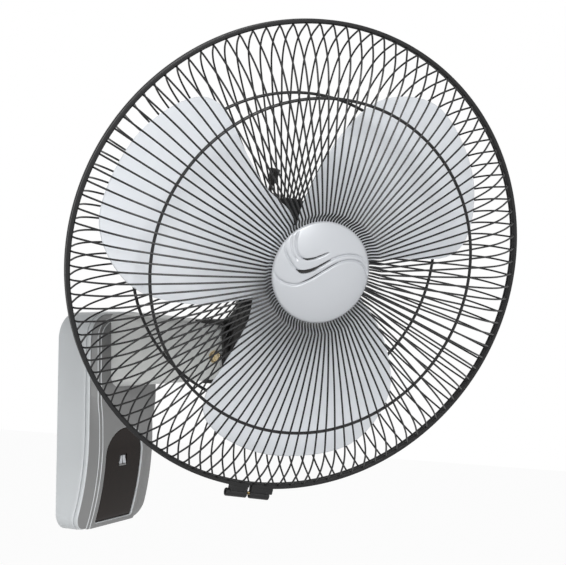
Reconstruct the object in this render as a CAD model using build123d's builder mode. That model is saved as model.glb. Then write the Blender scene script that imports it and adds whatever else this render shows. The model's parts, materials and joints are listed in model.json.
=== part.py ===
from build123d import *
import os
from math import cos, pi, radians, sin, sqrt

os.makedirs("parts", exist_ok=True)

# A wall-mounted oscillating fan in millimetres, +Z up. The wall is the plane Y = 0 and the fan
# reaches out towards -Y. The origin is the middle of the four wall screws. The head is drawn
# tipped down and swung aside, as it was last left.

# How the fan was left
tip_angle = 16.5            # of the fan axis below level
swing_angle = 39.0          # of the head from straight ahead, towards -X

# Clearances
seat_gap = 0.1              # a part held in or on another
running_gap = 0.05          # a shaft in its bore, on the radius
free_gap = 0.6              # parts that pass one another
weld_gap = 0.05             # a guard ring from the wires welded to it

# Housing on the wall
housing_top_width = 122
housing_base_width = 136
housing_height = 260
top_corner = 32
base_corner = 20
shell_depth = 45.2
shell_wall = 2.5
notch_depth = 3
shell_notches = [(-23, -3), (-59, -50)]
plate_thickness = 3
housing_depth = 59.4
cover_wall = 2.4
cover_inset = 7             # of the cover's raised face from the shell's outline
flange_inset = 2.6
flange_thickness = 2.6
bend_start = -13            # height below which the front bends back to the wall
bend_radius = 334
bend_flats = 5              # that stand for the bend

# Wall screws and the supply inlet in the plate
screw_spacing_x = 70
screw_spacing_z = 160
wall_hole_radius = 3
inlet_height = housing_height / 2 - 70
inlet_radius = 11
inlet_bore = 5
inlet_flange = 2

# Dark panel in the lower front, and the window in it
panel_top = -11
panel_base = -119
panel_top_width = 76
panel_base_width = 80
panel_crown = 7
panel_corner = 5
panel_thickness = 2.8
panel_stand = 0.8           # of the panel above the cover
window_height = -50
window_width = 15.4
window_tall = 13.4

# Control board on the posts of the wall plate
board_height = -25
board_width = 84
board_tall = 84
board_thickness = 1.6
board_hole_x = 74
board_hole_z = 74
board_screw_radius = 1.5
post_radius = 4
post_length = 8
terminal_width = 40
terminal_tall = 14
terminal_depth = 12
terminal_ways = 5
terminal_slot = 4
capacitor_width = 46
capacitor_tall = 20
capacitor_depth = 26
receiver_width = 10
receiver_tall = 7

# Arm
arm_root_width = 72.6
arm_tip_width = 47.2
arm_root_top = housing_height / 2 - 1
arm_root_base = arm_root_top - 87.5
arm_tip_top = arm_root_top - 10
arm_tip_base = arm_root_base + 13.5
arm_reach = 206.9
arm_corner = 6
arm_wall = 3.5
arm_flange = 6
arm_bolt_x = 44
arm_bolt_z = 58
arm_bolt_radius = 2.5
arm_bolt_head = 3
lead_hole_radius = 9
fork_width = 30
fork_length = 42            # of the slot in the arm's tip

# Tilt pivot in the arm's tip, and the liner of its fork
pivot_reach = arm_reach - 6.6
pivot_height = arm_tip_base + 26.5
tilt_bolt_radius = 4
tilt_head_radius = 6.2
tilt_head_height = 2.6
tilt_slot = 1.6
cup_radius = 7.6
cup_thickness = 1.6
nut_width = 13
nut_thickness = 6.5
liner_wall = 2.6
liner_rise = 4.6            # of the liner above the arm's tip
liner_fall = 3
liner_overhang = 4.4
lead_slot = 12

# Neck that tips in the fork, and the swivel on top of it
tongue_width = 23.4
tongue_back = 26
tongue_low = 17
tongue_rise = 29            # of the tongue's back above the pivot
tongue_slope = 9
tongue_shoulder = 25        # of the back's corner behind the swivel axis
tongue_toe = 4.5
swivel_advance = 15         # of the swivel axis in front of the tilt pivot
fan_height = 142.5          # of the fan axis above the tilt pivot, along the swivel axis
deck_height = 68            # of the top of the neck
deck_radius = 19
deck_thickness = 7
stem_radius = 13
spindle_radius = 6
stem_foot = 44
spindle_foot = 46
washer_radius = 16
washer_thickness = 1.6

# Motor on the fan axis, in heights forward of the plane where the two guards meet
rim_advance = 116.7         # of that plane in front of the swivel axis
motor_front = -65.2
motor_split = -98
motor_rear = -150
motor_radius = 54
motor_shoulder = 9
motor_wall = 3.5
nose_radius = 14
nose_length = 9
boss_radius = 12
boss_bore_depth = 19
shaft_radius = 4
shaft_front = 8
bearing_radius = 9.5
bearing_width = 7
stator_length = 28
stator_radius = 49.5
rotor_radius = 26
air_gap = 0.8
stator_slots = 12
slot_width = 5
slot_depth = 13
coil_radius = 44
coil_height = 6
vent_count = 8
vent_width = 5
vent_length = 20

# Gearbox behind the motor, and the clutch knob on top of it
gearbox_left = -20
gearbox_right = 32
gearbox_base = -32
gearbox_top = 34
gearbox_length = 54
gearbox_wall = 3
gearbox_corner = 6
lid_thickness = 3
worm_radius = 5.2
worm_length = 18
knob_offset = 13            # of the clutch to the side of the fan axis
knob_set_back = 69.3        # of the clutch behind the swivel axis
knob_stem_radius = 2.5
knob_stem_foot = 24
knob_height = 60            # of the knob's underside above the fan axis
knob_length = 18
knob_foot_radius = 4.6
knob_top_radius = 6.6

# Guards, in heights forward of the plane where they meet
wires = 108
first_wire = 0.8            # direction of the first wire, in degrees
wire_radius = 1.4
front_lead = 2.9            # of each front wire past the fan axis
guard_split = 0.3           # of each guard's rim from the plane between them
ring_side = 3.2
front_ring_radius = 176.2
rear_ring_radius = 174.6
ring_facets = 36
wire_start = 2.0            # height of each wire at the rim
front_shoulder = (30.0, 31.0)   # of the wires: distance inside the band, height
front_neck = (67.0, 61.0)   # where the front wires turn down under the badge: radius, height
rear_shoulder = (25.0, 37.0)
front_hub_radius = 57
front_hub_bore = 40
front_hub_drop = 12.6       # of the front middle plate's front from the wires' highest point
rear_hub_radius = 59
rear_hub_depth = 63.3
hub_plate = 3.6
hub_grip = 2.8              # of the wires' ends into the middle plates
hub_facets = 36
lock_ring_radius = 27
lock_ring_thickness = 6

# Band that clips the two guards together
band_radius = 253
band_wall = 1.2
band_play = 0.8             # of the guards' rims inside the band
band_lip = 4
lug_length = 26
lug_width = 8.6
lug_depth = 14
lug_gap = 3
lug_direction = -89
band_screw_radius = 2
band_nut_radius = 3.8
band_nut_thickness = 3
lug_screw_seat = 9          # of the screw's head from the middle of the clip

# Badge in the middle of the front guard
badge_radius = 53.6
badge_edge = 2.6            # of its rim above the guard's middle plate
badge_crown = 8
badge_wall = 2.4
badge_boss = 38
badge_plate_radius = 47
badge_plate_thickness = 3

# Blade
blades = 3
blade_lead = 12             # direction of the first leading edge, in degrees
blade_tip_radius = 225
blade_root_radius = 24
blade_thickness = 2.4
blade_rise = 0.31           # towards the front, for each degree round the axis
blade_low = -28             # height of the leading edge
hub_radius = 33
hub_back = -38
hub_front = 4
drive_pin_radius = 1.5
drive_pin_length = 22
drive_pin_height = -34
hub_wall = 3
hub_core_radius = 13
blade_strips = 4
blade_stations = (16, 90, 235)
blade_span = (-8, 106)      # directions between which the blade's sheet is twisted
cap_radius = 20
cap_bevel = 5
cap_length = 12

# Flats that stand for a round of a piece, so that it stays light
many_facets = 24
some_facets = 14
few_facets = 10

# Frames: the wall, the neck that tips, the head that swings, and the plane of the guards
tip = radians(tip_angle)
swing = radians(swing_angle)
wall = Plane(origin=(0, 0, 0), x_dir=(1, 0, 0), z_dir=(0, -1, 0))
side = Plane(origin=(0, 0, 0), x_dir=(0, -1, 0), z_dir=(-1, 0, 0))
neck = Plane(origin=(0, -pivot_reach, pivot_height), x_dir=(1, 0, 0), z_dir=(0, -cos(tip), -sin(tip)))
neck_side = Plane(origin=neck.origin, x_dir=neck.z_dir, z_dir=-neck.x_dir)
swivel = neck.origin + neck.z_dir * swivel_advance
neck_deck = Plane(origin=swivel, x_dir=neck.x_dir, z_dir=neck.y_dir)
head = Plane(
    origin=swivel + neck.y_dir * fan_height,
    x_dir=neck.x_dir * cos(swing) + neck.z_dir * sin(swing),
    z_dir=neck.z_dir * cos(swing) - neck.x_dir * sin(swing),
)
head_deck = Plane(origin=head.origin, x_dir=head.x_dir, z_dir=head.y_dir)
rim = head.offset(rim_advance)
rim_section = Plane(origin=rim.origin, x_dir=rim.x_dir, z_dir=-rim.y_dir)
fan_axis = Axis(rim.origin, rim.z_dir)
pin_plane = Plane(origin=rim.offset(drive_pin_height).origin, x_dir=rim.y_dir, z_dir=rim.x_dir)


def save(piece, name):
    """Labels a finished piece and writes it under its own name."""
    piece.part.label = name
    export_step(piece.part, f"parts/{name}.step")


def housing_outline(depth, inset):
    """Front view of the housing, on the plane at a depth from the wall."""
    half = housing_height / 2
    with BuildSketch(wall.offset(depth)) as outline:
        with BuildLine():
            Polyline(
                (housing_base_width / 2, -half),
                (housing_top_width / 2, half),
                (-housing_top_width / 2, half),
                (-housing_base_width / 2, -half),
                close=True,
            )
        make_face()
        fillet(outline.vertices().group_by(Axis.Y)[-1], top_corner)
        fillet(outline.vertices().group_by(Axis.Y)[0], base_corner)
        offset(amount=-inset)
    return outline.sketch


def panel_outline(depth, grow):
    """Front view of the dark panel, with its arched top."""
    shoulder = panel_top - panel_crown
    with BuildSketch(wall.offset(depth)) as outline:
        with BuildLine():
            Polyline(
                (panel_top_width / 2, shoulder),
                (panel_base_width / 2, panel_base),
                (-panel_base_width / 2, panel_base),
                (-panel_top_width / 2, shoulder),
            )
            ThreePointArc((-panel_top_width / 2, shoulder), (0, panel_top), (panel_top_width / 2, shoulder))
        make_face()
        fillet(outline.vertices(), panel_corner)
        offset(amount=grow)
    return outline.sketch


def setback(height):
    """How far the bend has brought the front back towards the wall at a height."""
    drop = bend_start - height
    return bend_radius - sqrt(bend_radius**2 - drop**2)


def bent_slab(back, front):
    """A slab between two depths that bends back to the wall with the front of the housing, in flats."""
    end = -housing_height / 2 - shell_wall
    heights = [bend_start + step * (end - bend_start) / bend_flats for step in range(bend_flats + 1)]
    with BuildPart() as slab:
        with BuildSketch(side):
            with BuildLine():
                Polyline(
                    (front, housing_height),
                    *[(front - setback(height), height) for height in heights],
                    *[(back - setback(height), height) for height in reversed(heights)],
                    (back, housing_height),
                    close=True,
                )
            make_face()
        extrude(amount=housing_base_width, both=True)
    return slab.part


def drum(base, radius, low, high, facets, bevels=(), top=True):
    """A faceted round between two heights above a base plane, with bevels at one end of it."""
    with BuildPart() as shape:
        with BuildSketch(base.offset(low)):
            RegularPolygon(radius, facets)
        extrude(amount=high - low)
        for narrowing, length in bevels:
            end = shape.faces().sort_by(Axis(base.origin, base.z_dir))[-1 if top else 0]
            chamfer(end.edges(), length=narrowing, length2=length, reference=end)
    return shape.part


# ---- Housing ----

plate_inset = shell_wall + seat_gap
with BuildPart() as wall_plate:
    extrude(housing_outline(0, plate_inset), amount=plate_thickness)
    with BuildSketch(wall.offset(plate_thickness)):
        with Locations((0, board_height)):
            with GridLocations(board_hole_x, board_hole_z, 2, 2):
                RegularPolygon(post_radius, 6)
    extrude(amount=post_length)
    with BuildSketch(wall):
        with GridLocations(screw_spacing_x, screw_spacing_z, 2, 2):
            Circle(wall_hole_radius)
        with Locations((0, inlet_height)):
            RegularPolygon(inlet_radius, few_facets)
    extrude(amount=plate_thickness, mode=Mode.SUBTRACT)
save(wall_plate, "wall_plate")

with BuildPart() as inlet_grommet:
    with BuildSketch(wall):
        with Locations((0, inlet_height)):
            RegularPolygon(inlet_radius - seat_gap, few_facets)
            RegularPolygon(inlet_bore, few_facets, mode=Mode.SUBTRACT)
    extrude(amount=plate_thickness)
    with BuildSketch(wall.offset(plate_thickness)):
        with Locations((0, inlet_height)):
            RegularPolygon(inlet_radius + inlet_flange, few_facets)
            RegularPolygon(inlet_bore, few_facets, mode=Mode.SUBTRACT)
    extrude(amount=inlet_flange)
save(inlet_grommet, "inlet_grommet")

with BuildPart() as housing_shell:
    extrude(housing_outline(0, 0), amount=shell_depth)
    add(bent_slab(-housing_depth, shell_depth), mode=Mode.INTERSECT)
    extrude(housing_outline(0, shell_wall), amount=shell_depth, mode=Mode.SUBTRACT)
    with BuildSketch(side):
        for low, high in shell_notches:
            with Locations((notch_depth / 2, (low + high) / 2)):
                Rectangle(notch_depth, high - low)
    extrude(amount=housing_base_width, mode=Mode.SUBTRACT)
save(housing_shell, "housing_shell")

cover_back = shell_depth + seat_gap
pocket_floor = housing_depth - panel_thickness + panel_stand
with BuildPart() as cover_hollow:
    extrude(housing_outline(0, cover_inset + cover_wall), amount=housing_depth)
    add(bent_slab(0, pocket_floor - cover_wall), mode=Mode.INTERSECT)
with BuildPart() as cover_pocket:
    extrude(panel_outline(0, seat_gap), amount=2 * housing_depth)
    add(bent_slab(pocket_floor - seat_gap, 2 * housing_depth), mode=Mode.INTERSECT)
with BuildPart() as cover_flange:
    extrude(housing_outline(0, flange_inset), amount=housing_depth)
    add(bent_slab(cover_back, cover_back + flange_thickness), mode=Mode.INTERSECT)
with BuildPart() as front_cover:
    extrude(housing_outline(0, cover_inset), amount=housing_depth)
    add(bent_slab(cover_back, housing_depth), mode=Mode.INTERSECT)
    add(cover_flange.part)
    add(cover_hollow.part, mode=Mode.SUBTRACT)
    add(cover_pocket.part, mode=Mode.SUBTRACT)
    with BuildSketch(wall.offset(housing_depth)):
        with Locations((0, (arm_root_top + arm_root_base) / 2)):
            RegularPolygon(lead_hole_radius, few_facets)
            with GridLocations(arm_bolt_x, arm_bolt_z, 2, 2):
                RegularPolygon(arm_bolt_radius, 6)
        with Locations((0, window_height)):
            Rectangle(window_width / 2, window_tall / 2)
    extrude(amount=-housing_depth, mode=Mode.SUBTRACT)
save(front_cover, "front_cover")

with BuildPart() as panel_insert:
    extrude(panel_outline(0, 0), amount=2 * housing_depth)
    add(bent_slab(pocket_floor, housing_depth + panel_stand), mode=Mode.INTERSECT)
    with BuildSketch(wall):
        with Locations((0, window_height)):
            Rectangle(window_width, window_tall)
    extrude(amount=2 * housing_depth, mode=Mode.SUBTRACT)
save(panel_insert, "panel_insert")

with BuildPart() as indicator_window:
    with BuildSketch(wall):
        with Locations((0, window_height)):
            Rectangle(window_width - 2 * seat_gap, window_tall - 2 * seat_gap)
    extrude(amount=2 * housing_depth)
    add(bent_slab(pocket_floor, housing_depth + panel_stand), mode=Mode.INTERSECT)
save(indicator_window, "indicator_window")

board_back = plate_thickness + post_length
with BuildPart() as control_board:
    with BuildSketch(wall.offset(board_back)):
        with Locations((0, board_height)):
            Rectangle(board_width, board_tall)
            with GridLocations(board_hole_x, board_hole_z, 2, 2):
                RegularPolygon(board_screw_radius + seat_gap, 6, mode=Mode.SUBTRACT)
    extrude(amount=board_thickness)
save(control_board, "control_board")

board_front = wall.offset(board_back + board_thickness)
with BuildPart() as board_screws:
    with BuildSketch(wall.offset(board_back)):
        with Locations((0, board_height)):
            with GridLocations(board_hole_x, board_hole_z, 2, 2):
                RegularPolygon(board_screw_radius, 6)
    extrude(amount=board_thickness)
    with BuildSketch(board_front):
        with Locations((0, board_height)):
            with GridLocations(board_hole_x, board_hole_z, 2, 2):
                RegularPolygon(2 * board_screw_radius, 6)
    extrude(amount=board_screw_radius)
save(board_screws, "board_screws")

with BuildPart() as terminal_block:
    with BuildSketch(board_front):
        with Locations((0, board_height + board_tall / 2 - terminal_tall)):
            Rectangle(terminal_width, terminal_tall)
    extrude(amount=terminal_depth)
    with BuildSketch(board_front.offset(terminal_depth)):
        with Locations((0, board_height + board_tall / 2 - terminal_tall)):
            with GridLocations(terminal_width / terminal_ways, 1, terminal_ways, 1):
                Rectangle(terminal_slot, terminal_slot)
    extrude(amount=-terminal_slot, mode=Mode.SUBTRACT)
save(terminal_block, "terminal_block")

with BuildPart() as run_capacitor:
    with BuildSketch(board_front):
        with Locations((0, board_height)):
            Rectangle(capacitor_width, capacitor_tall)
    extrude(amount=capacitor_depth)
    chamfer(run_capacitor.edges().filter_by(Axis.Y), 2)
save(run_capacitor, "run_capacitor")

receiver_front = pocket_floor - cover_wall - setback(window_height - window_tall / 2) - seat_gap
with BuildPart() as remote_receiver:
    with BuildSketch(board_front):
        with Locations((0, window_height)):
            Rectangle(receiver_width, receiver_tall)
    extrude(amount=receiver_front - board_back - board_thickness)
save(remote_receiver, "remote_receiver")

# ---- Arm ----

arm_middle = (arm_root_top + arm_root_base) / 2
fork_floor = arm_reach - fork_length


def arm_block(start, end, inset):
    """The tapered arm between two depths from the wall, from its side view and its plan view."""
    shares = [(depth - housing_depth) / (arm_reach - housing_depth) for depth in (start, end)]
    tops = [arm_root_top + share * (arm_tip_top - arm_root_top) - inset for share in shares]
    bases = [arm_root_base + share * (arm_tip_base - arm_root_base) + inset for share in shares]
    halves = [(arm_root_width + share * (arm_tip_width - arm_root_width)) / 2 - inset for share in shares]
    with BuildPart() as block:
        with BuildSketch(side):
            with BuildLine():
                Polyline((start, bases[0]), (start, tops[0]), (end, tops[1]), (end, bases[1]), close=True)
            make_face()
        extrude(amount=arm_root_width, both=True)
        with BuildSketch(Plane.XY):
            with BuildLine():
                Polyline((-halves[0], -start), (halves[0], -start), (halves[1], -end), (-halves[1], -end), close=True)
            make_face()
        extrude(amount=2 * arm_root_top, both=True, mode=Mode.INTERSECT)
        long_edges = [edge for edge in block.edges() if edge.length > (end - start) / 2 and abs((edge % 0).Y) > 0.9]
        chamfer(long_edges, arm_corner - inset)
    return block.part


arm_back = cover_back + flange_thickness + seat_gap
with BuildPart() as arm:
    add(arm_block(arm_back, arm_reach, 0))
    extrude(housing_outline(0, cover_inset - seat_gap), amount=housing_depth + seat_gap, mode=Mode.SUBTRACT)
    add(arm_block(housing_depth + arm_flange, fork_floor - arm_wall, arm_wall), mode=Mode.SUBTRACT)
    with BuildSketch(wall.offset(housing_depth)):
        with Locations((0, arm_middle)):
            RegularPolygon(lead_hole_radius, few_facets)
            with GridLocations(arm_bolt_x, arm_bolt_z, 2, 2):
                RegularPolygon(arm_bolt_radius, 6)
    extrude(amount=arm_flange, mode=Mode.SUBTRACT)
    with BuildSketch(wall.offset(fork_floor)):
        with Locations((0, pivot_height)):
            Rectangle(fork_width, housing_height)
    extrude(amount=fork_length, mode=Mode.SUBTRACT)
    with BuildSketch(neck_side):
        RegularPolygon(tilt_bolt_radius + seat_gap, few_facets, major_radius=False)
    extrude(amount=arm_tip_width, both=True, mode=Mode.SUBTRACT)
save(arm, "arm")

with BuildPart() as arm_bolts:
    bolt_start = pocket_floor - cover_wall
    with BuildSketch(wall.offset(bolt_start)):
        with Locations((0, arm_middle)):
            with GridLocations(arm_bolt_x, arm_bolt_z, 2, 2):
                RegularPolygon(arm_bolt_radius - seat_gap, 6)
    extrude(amount=housing_depth + arm_flange - bolt_start)
    with BuildSketch(wall.offset(bolt_start)):
        with Locations((0, arm_middle)):
            with GridLocations(arm_bolt_x, arm_bolt_z, 2, 2):
                RegularPolygon(2 * arm_bolt_radius, 6)
    extrude(amount=-arm_bolt_head)
save(arm_bolts, "arm_bolts")

liner_outside = fork_width - 2 * seat_gap
liner_inside = liner_outside - 2 * liner_wall
liner_back = fork_floor + seat_gap
liner_top = arm_tip_top + liner_rise
liner_base = arm_tip_base - liner_fall
with BuildPart() as fork_liner:
    with BuildSketch(side):
        with Locations(((liner_back + arm_reach + liner_overhang) / 2, (liner_top + liner_base) / 2)):
            Rectangle(arm_reach + liner_overhang - liner_back, liner_top - liner_base)
    extrude(amount=liner_outside / 2, both=True)
    with BuildSketch(wall.offset(liner_back + liner_wall)):
        with Locations((0, pivot_height)):
            Rectangle(liner_inside, housing_height)
    extrude(amount=fork_length + liner_overhang, mode=Mode.SUBTRACT)
    with BuildSketch(neck_side):
        RegularPolygon(tilt_bolt_radius + seat_gap, few_facets, major_radius=False)
    extrude(amount=arm_tip_width, both=True, mode=Mode.SUBTRACT)
    with BuildSketch(wall.offset(liner_back)):
        with Locations((0, pivot_height)):
            Rectangle(lead_slot, housing_height)
    extrude(amount=liner_wall, mode=Mode.SUBTRACT)
save(fork_liner, "fork_liner")


tip_share = (pivot_reach - housing_depth) / (arm_reach - housing_depth)
pivot_half_width = (arm_root_width + tip_share * (arm_tip_width - arm_root_width)) / 2
cup_seat = pivot_half_width + seat_gap + cup_radius * (arm_root_width - arm_tip_width) / 2 / (arm_reach - housing_depth)
with BuildPart() as cup_washer:
    with BuildSketch(neck_side.offset(cup_seat)):
        RegularPolygon(cup_radius, some_facets)
        RegularPolygon(tilt_bolt_radius + seat_gap, few_facets, major_radius=False, mode=Mode.SUBTRACT)
    extrude(amount=cup_thickness)
    with BuildSketch(neck_side.offset(cup_seat + cup_thickness)):
        RegularPolygon(cup_radius, some_facets)
        RegularPolygon(tilt_head_radius + seat_gap, some_facets, mode=Mode.SUBTRACT)
    extrude(amount=tilt_head_height / 2)
save(cup_washer, "cup_washer")

head_seat = cup_seat + cup_thickness
with BuildPart() as tilt_screw:
    with BuildSketch(neck_side.offset(head_seat)):
        RegularPolygon(tilt_head_radius, some_facets)
    extrude(amount=tilt_head_height)
    with BuildSketch(neck_side.offset(head_seat + tilt_head_height)):
        Rectangle(tilt_slot, 3 * tilt_head_radius, rotation=30)
    extrude(amount=-tilt_slot, mode=Mode.SUBTRACT)
    with BuildSketch(neck_side.offset(-cup_seat - nut_thickness)):
        Circle(tilt_bolt_radius)
    extrude(amount=cup_seat + nut_thickness + head_seat)
save(tilt_screw, "tilt_screw")

with BuildPart() as tilt_nut:
    with BuildSketch(neck_side.offset(-cup_seat - nut_thickness)):
        RegularPolygon(nut_width / 2, 6, major_radius=False)
        RegularPolygon(tilt_bolt_radius + seat_gap, few_facets, major_radius=False, mode=Mode.SUBTRACT)
    extrude(amount=nut_thickness)
save(tilt_nut, "tilt_nut")

# ---- Neck ----

with BuildPart() as neck_casting:
    with BuildSketch(neck_side) as tongue:
        with BuildLine():
            Polyline(
                (-tongue_back, -tongue_low),
                (-tongue_back, tongue_rise),
                (swivel_advance - tongue_shoulder, tongue_rise + tongue_slope),
                (swivel_advance - stem_radius, deck_height - deck_thickness),
                (swivel_advance + stem_radius, deck_height - deck_thickness),
                (swivel_advance + stem_radius / 4, tongue_rise),
                (swivel_advance - tongue_toe, tongue_toe - tongue_low),
                (swivel_advance - 2 * tongue_toe, -tongue_low),
                close=True,
            )
        make_face()
        fillet(tongue.vertices().group_by(Axis.Y)[0], 4)
    extrude(amount=tongue_width / 2, both=True)
    deck_bevel = (deck_radius - stem_radius, deck_height - deck_thickness - stem_foot)
    add(drum(neck_deck, deck_radius, stem_foot, deck_height, some_facets, [deck_bevel], top=False))
    with BuildSketch(neck_deck.offset(spindle_foot)):
        RegularPolygon(spindle_radius + seat_gap, few_facets, major_radius=False)
    extrude(amount=deck_height, mode=Mode.SUBTRACT)
    with BuildSketch(neck_side):
        Circle(tilt_bolt_radius + running_gap)
    extrude(amount=tongue_width, both=True, mode=Mode.SUBTRACT)
save(neck_casting, "neck_casting")

with BuildPart() as swivel_spindle:
    with BuildSketch(neck_deck.offset(spindle_foot)):
        Circle(spindle_radius)
    extrude(amount=deck_height + washer_thickness + boss_bore_depth - free_gap - spindle_foot)
save(swivel_spindle, "swivel_spindle")

with BuildPart() as thrust_washer:
    with BuildSketch(neck_deck.offset(deck_height)):
        RegularPolygon(washer_radius, some_facets)
        RegularPolygon(spindle_radius + seat_gap, few_facets, major_radius=False, mode=Mode.SUBTRACT)
    extrude(amount=washer_thickness)
save(thrust_washer, "thrust_washer")

# ---- Motor ----


inner_radius = motor_radius - motor_wall
motor_back_face = motor_rear + motor_wall
outer_bevel = [(motor_shoulder, motor_shoulder)]
inner_bevel = [(motor_shoulder, motor_shoulder)]
with BuildPart() as motor_front_cover:
    add(drum(rim, motor_radius, motor_split, motor_front, many_facets, outer_bevel))
    add(drum(rim, inner_radius, motor_split, motor_front - motor_wall, many_facets, inner_bevel), mode=Mode.SUBTRACT)
    add(drum(rim, bearing_radius, motor_front - motor_wall - bearing_width, motor_front, some_facets))
    add(drum(rim, nose_radius, motor_front, motor_front + nose_length, some_facets))
    with BuildSketch(rim.offset(motor_split)):
        Circle(shaft_radius + running_gap)
    extrude(amount=motor_front + nose_length - motor_split, mode=Mode.SUBTRACT)
save(motor_front_cover, "motor_front_cover")

boss_foot = deck_height + washer_thickness + free_gap / 2 - fan_height
with BuildPart() as motor_rear_cover:
    add(drum(rim, motor_radius, motor_rear, motor_split - seat_gap, many_facets, outer_bevel, top=False))
    with BuildSketch(head_deck.offset(boss_foot)):
        RegularPolygon(boss_radius, some_facets)
    extrude(amount=-boss_foot - motor_radius / 2)
    add(
        drum(rim, inner_radius, motor_back_face, motor_split - seat_gap, many_facets, inner_bevel, top=False),
        mode=Mode.SUBTRACT,
    )
    add(drum(rim, bearing_radius, motor_rear, motor_back_face + bearing_width, some_facets))
    with BuildSketch(rim.offset(motor_rear)):
        Circle(shaft_radius + running_gap)
    extrude(amount=motor_radius, mode=Mode.SUBTRACT)
    with BuildSketch(head_deck.offset(boss_foot)):
        Circle(spindle_radius + running_gap)
    extrude(amount=boss_bore_depth, mode=Mode.SUBTRACT)
    with BuildSketch(rim.offset(motor_rear)):
        with PolarLocations(motor_radius / 2 + bearing_radius, vent_count, start_angle=360 / vent_count / 2):
            Rectangle(vent_length, vent_width)
    extrude(amount=motor_wall, mode=Mode.SUBTRACT)
save(motor_rear_cover, "motor_rear_cover")

stator_rear = (motor_front + motor_rear - stator_length) / 2
with BuildPart() as stator_core:
    with BuildSketch(rim.offset(stator_rear)):
        RegularPolygon(stator_radius, 2 * stator_slots)
        RegularPolygon(rotor_radius + air_gap, 2 * stator_slots, mode=Mode.SUBTRACT)
        with PolarLocations(rotor_radius + air_gap + slot_depth / 2 + 2, stator_slots):
            Rectangle(slot_depth, slot_width, mode=Mode.SUBTRACT)
    extrude(amount=stator_length)
save(stator_core, "stator_core")

with BuildPart() as stator_windings:
    for start, length in [(stator_rear - seat_gap, -coil_height), (stator_rear + stator_length + seat_gap, coil_height)]:
        with BuildSketch(rim.offset(start)):
            RegularPolygon(coil_radius, 2 * stator_slots)
            RegularPolygon(rotor_radius + 3, 2 * stator_slots, mode=Mode.SUBTRACT)
        extrude(amount=length)
save(stator_windings, "stator_windings")

with BuildPart() as rotor_core:
    with BuildSketch(rim.offset(stator_rear)):
        RegularPolygon(rotor_radius, 2 * stator_slots)
        RegularPolygon(shaft_radius + seat_gap, few_facets, major_radius=False, mode=Mode.SUBTRACT)
    extrude(amount=stator_length)
save(rotor_core, "rotor_core")

gearbox_rear = motor_rear - seat_gap - gearbox_length
worm_middle = -rim_advance - knob_set_back
with BuildPart() as motor_shaft:
    with BuildSketch(rim.offset(worm_middle - worm_length / 2)):
        Circle(shaft_radius)
    extrude(amount=shaft_front - worm_middle + worm_length / 2)
    with BuildSketch(pin_plane):
        RegularPolygon(drive_pin_radius + running_gap, few_facets)
    extrude(amount=2 * shaft_radius, both=True, mode=Mode.SUBTRACT)
save(motor_shaft, "motor_shaft")

with BuildPart() as worm:
    with BuildSketch(rim.offset(worm_middle - worm_length / 2)):
        RegularPolygon(worm_radius, few_facets)
        RegularPolygon(shaft_radius + seat_gap, few_facets, major_radius=False, mode=Mode.SUBTRACT)
    extrude(amount=worm_length)
save(worm, "worm")

# ---- Gearbox and clutch knob ----

gearbox_centre = ((gearbox_left + gearbox_right) / 2, (gearbox_base + gearbox_top) / 2)
gearbox_width = gearbox_right - gearbox_left
gearbox_tall = gearbox_top - gearbox_base
knob_plane = Plane(
    origin=head_deck.from_local_coords((knob_offset, knob_set_back, 0)),
    x_dir=head_deck.x_dir,
    z_dir=head_deck.z_dir,
)
with BuildPart() as gearbox_case:
    with BuildSketch(rim.offset(gearbox_rear)):
        with Locations(gearbox_centre):
            Rectangle(gearbox_width, gearbox_tall)
    extrude(amount=gearbox_length)
    chamfer(gearbox_case.edges().filter_by(fan_axis), gearbox_corner)
    with BuildSketch(rim.offset(gearbox_rear)):
        with Locations(gearbox_centre):
            Rectangle(gearbox_width - 2 * gearbox_wall, gearbox_tall - 2 * gearbox_wall)
    extrude(amount=gearbox_length - gearbox_wall, mode=Mode.SUBTRACT)
    with BuildSketch(rim.offset(motor_rear)):
        RegularPolygon(shaft_radius + free_gap, few_facets, major_radius=False)
    extrude(amount=-2 * gearbox_wall, mode=Mode.SUBTRACT)
    with BuildSketch(knob_plane.offset(gearbox_top)):
        RegularPolygon(2 * knob_stem_radius, few_facets)
    extrude(amount=gearbox_wall)
    with BuildSketch(knob_plane.offset(gearbox_top - 2 * gearbox_wall)):
        RegularPolygon(knob_stem_radius + running_gap, few_facets)
    extrude(amount=4 * gearbox_wall, mode=Mode.SUBTRACT)
save(gearbox_case, "gearbox_case")

with BuildPart() as gearbox_lid:
    with BuildSketch(rim.offset(gearbox_rear - seat_gap)):
        with Locations(gearbox_centre):
            Rectangle(gearbox_width, gearbox_tall)
    extrude(amount=-lid_thickness)
    chamfer(gearbox_lid.edges().filter_by(fan_axis), gearbox_corner)
    with BuildSketch(rim.offset(gearbox_rear - seat_gap)):
        with Locations(gearbox_centre):
            Rectangle(gearbox_width - 4 * gearbox_wall, gearbox_tall - 4 * gearbox_wall)
    extrude(amount=lid_thickness / 2)
save(gearbox_lid, "gearbox_lid")

with BuildPart() as clutch_knob:
    with BuildSketch(knob_plane.offset(knob_stem_foot)):
        RegularPolygon(knob_stem_radius, few_facets)
    extrude(amount=knob_height - knob_stem_foot)
    knob_bevel = (knob_top_radius - knob_foot_radius, 0.8 * knob_length)
    add(drum(knob_plane, knob_top_radius, knob_height, knob_height + knob_length, few_facets, [knob_bevel], top=False))
save(clutch_knob, "clutch_knob")

# ---- Guards ----


def guard_wire(run, lead):
    """One three-sided wire of a guard, bent along its run, standing a lead to the side of the axis."""
    with BuildPart() as wire:
        with BuildLine(Plane.XZ.offset(-lead)) as path:
            Polyline(*run)
        with BuildSketch(Plane(origin=path.line @ 0, x_dir=(0, 1, 0), z_dir=path.line % 0)):
            RegularPolygon(wire_radius, 3)
        sweep(path=path.line, transition=Transition.RIGHT)
    return wire.part


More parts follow.
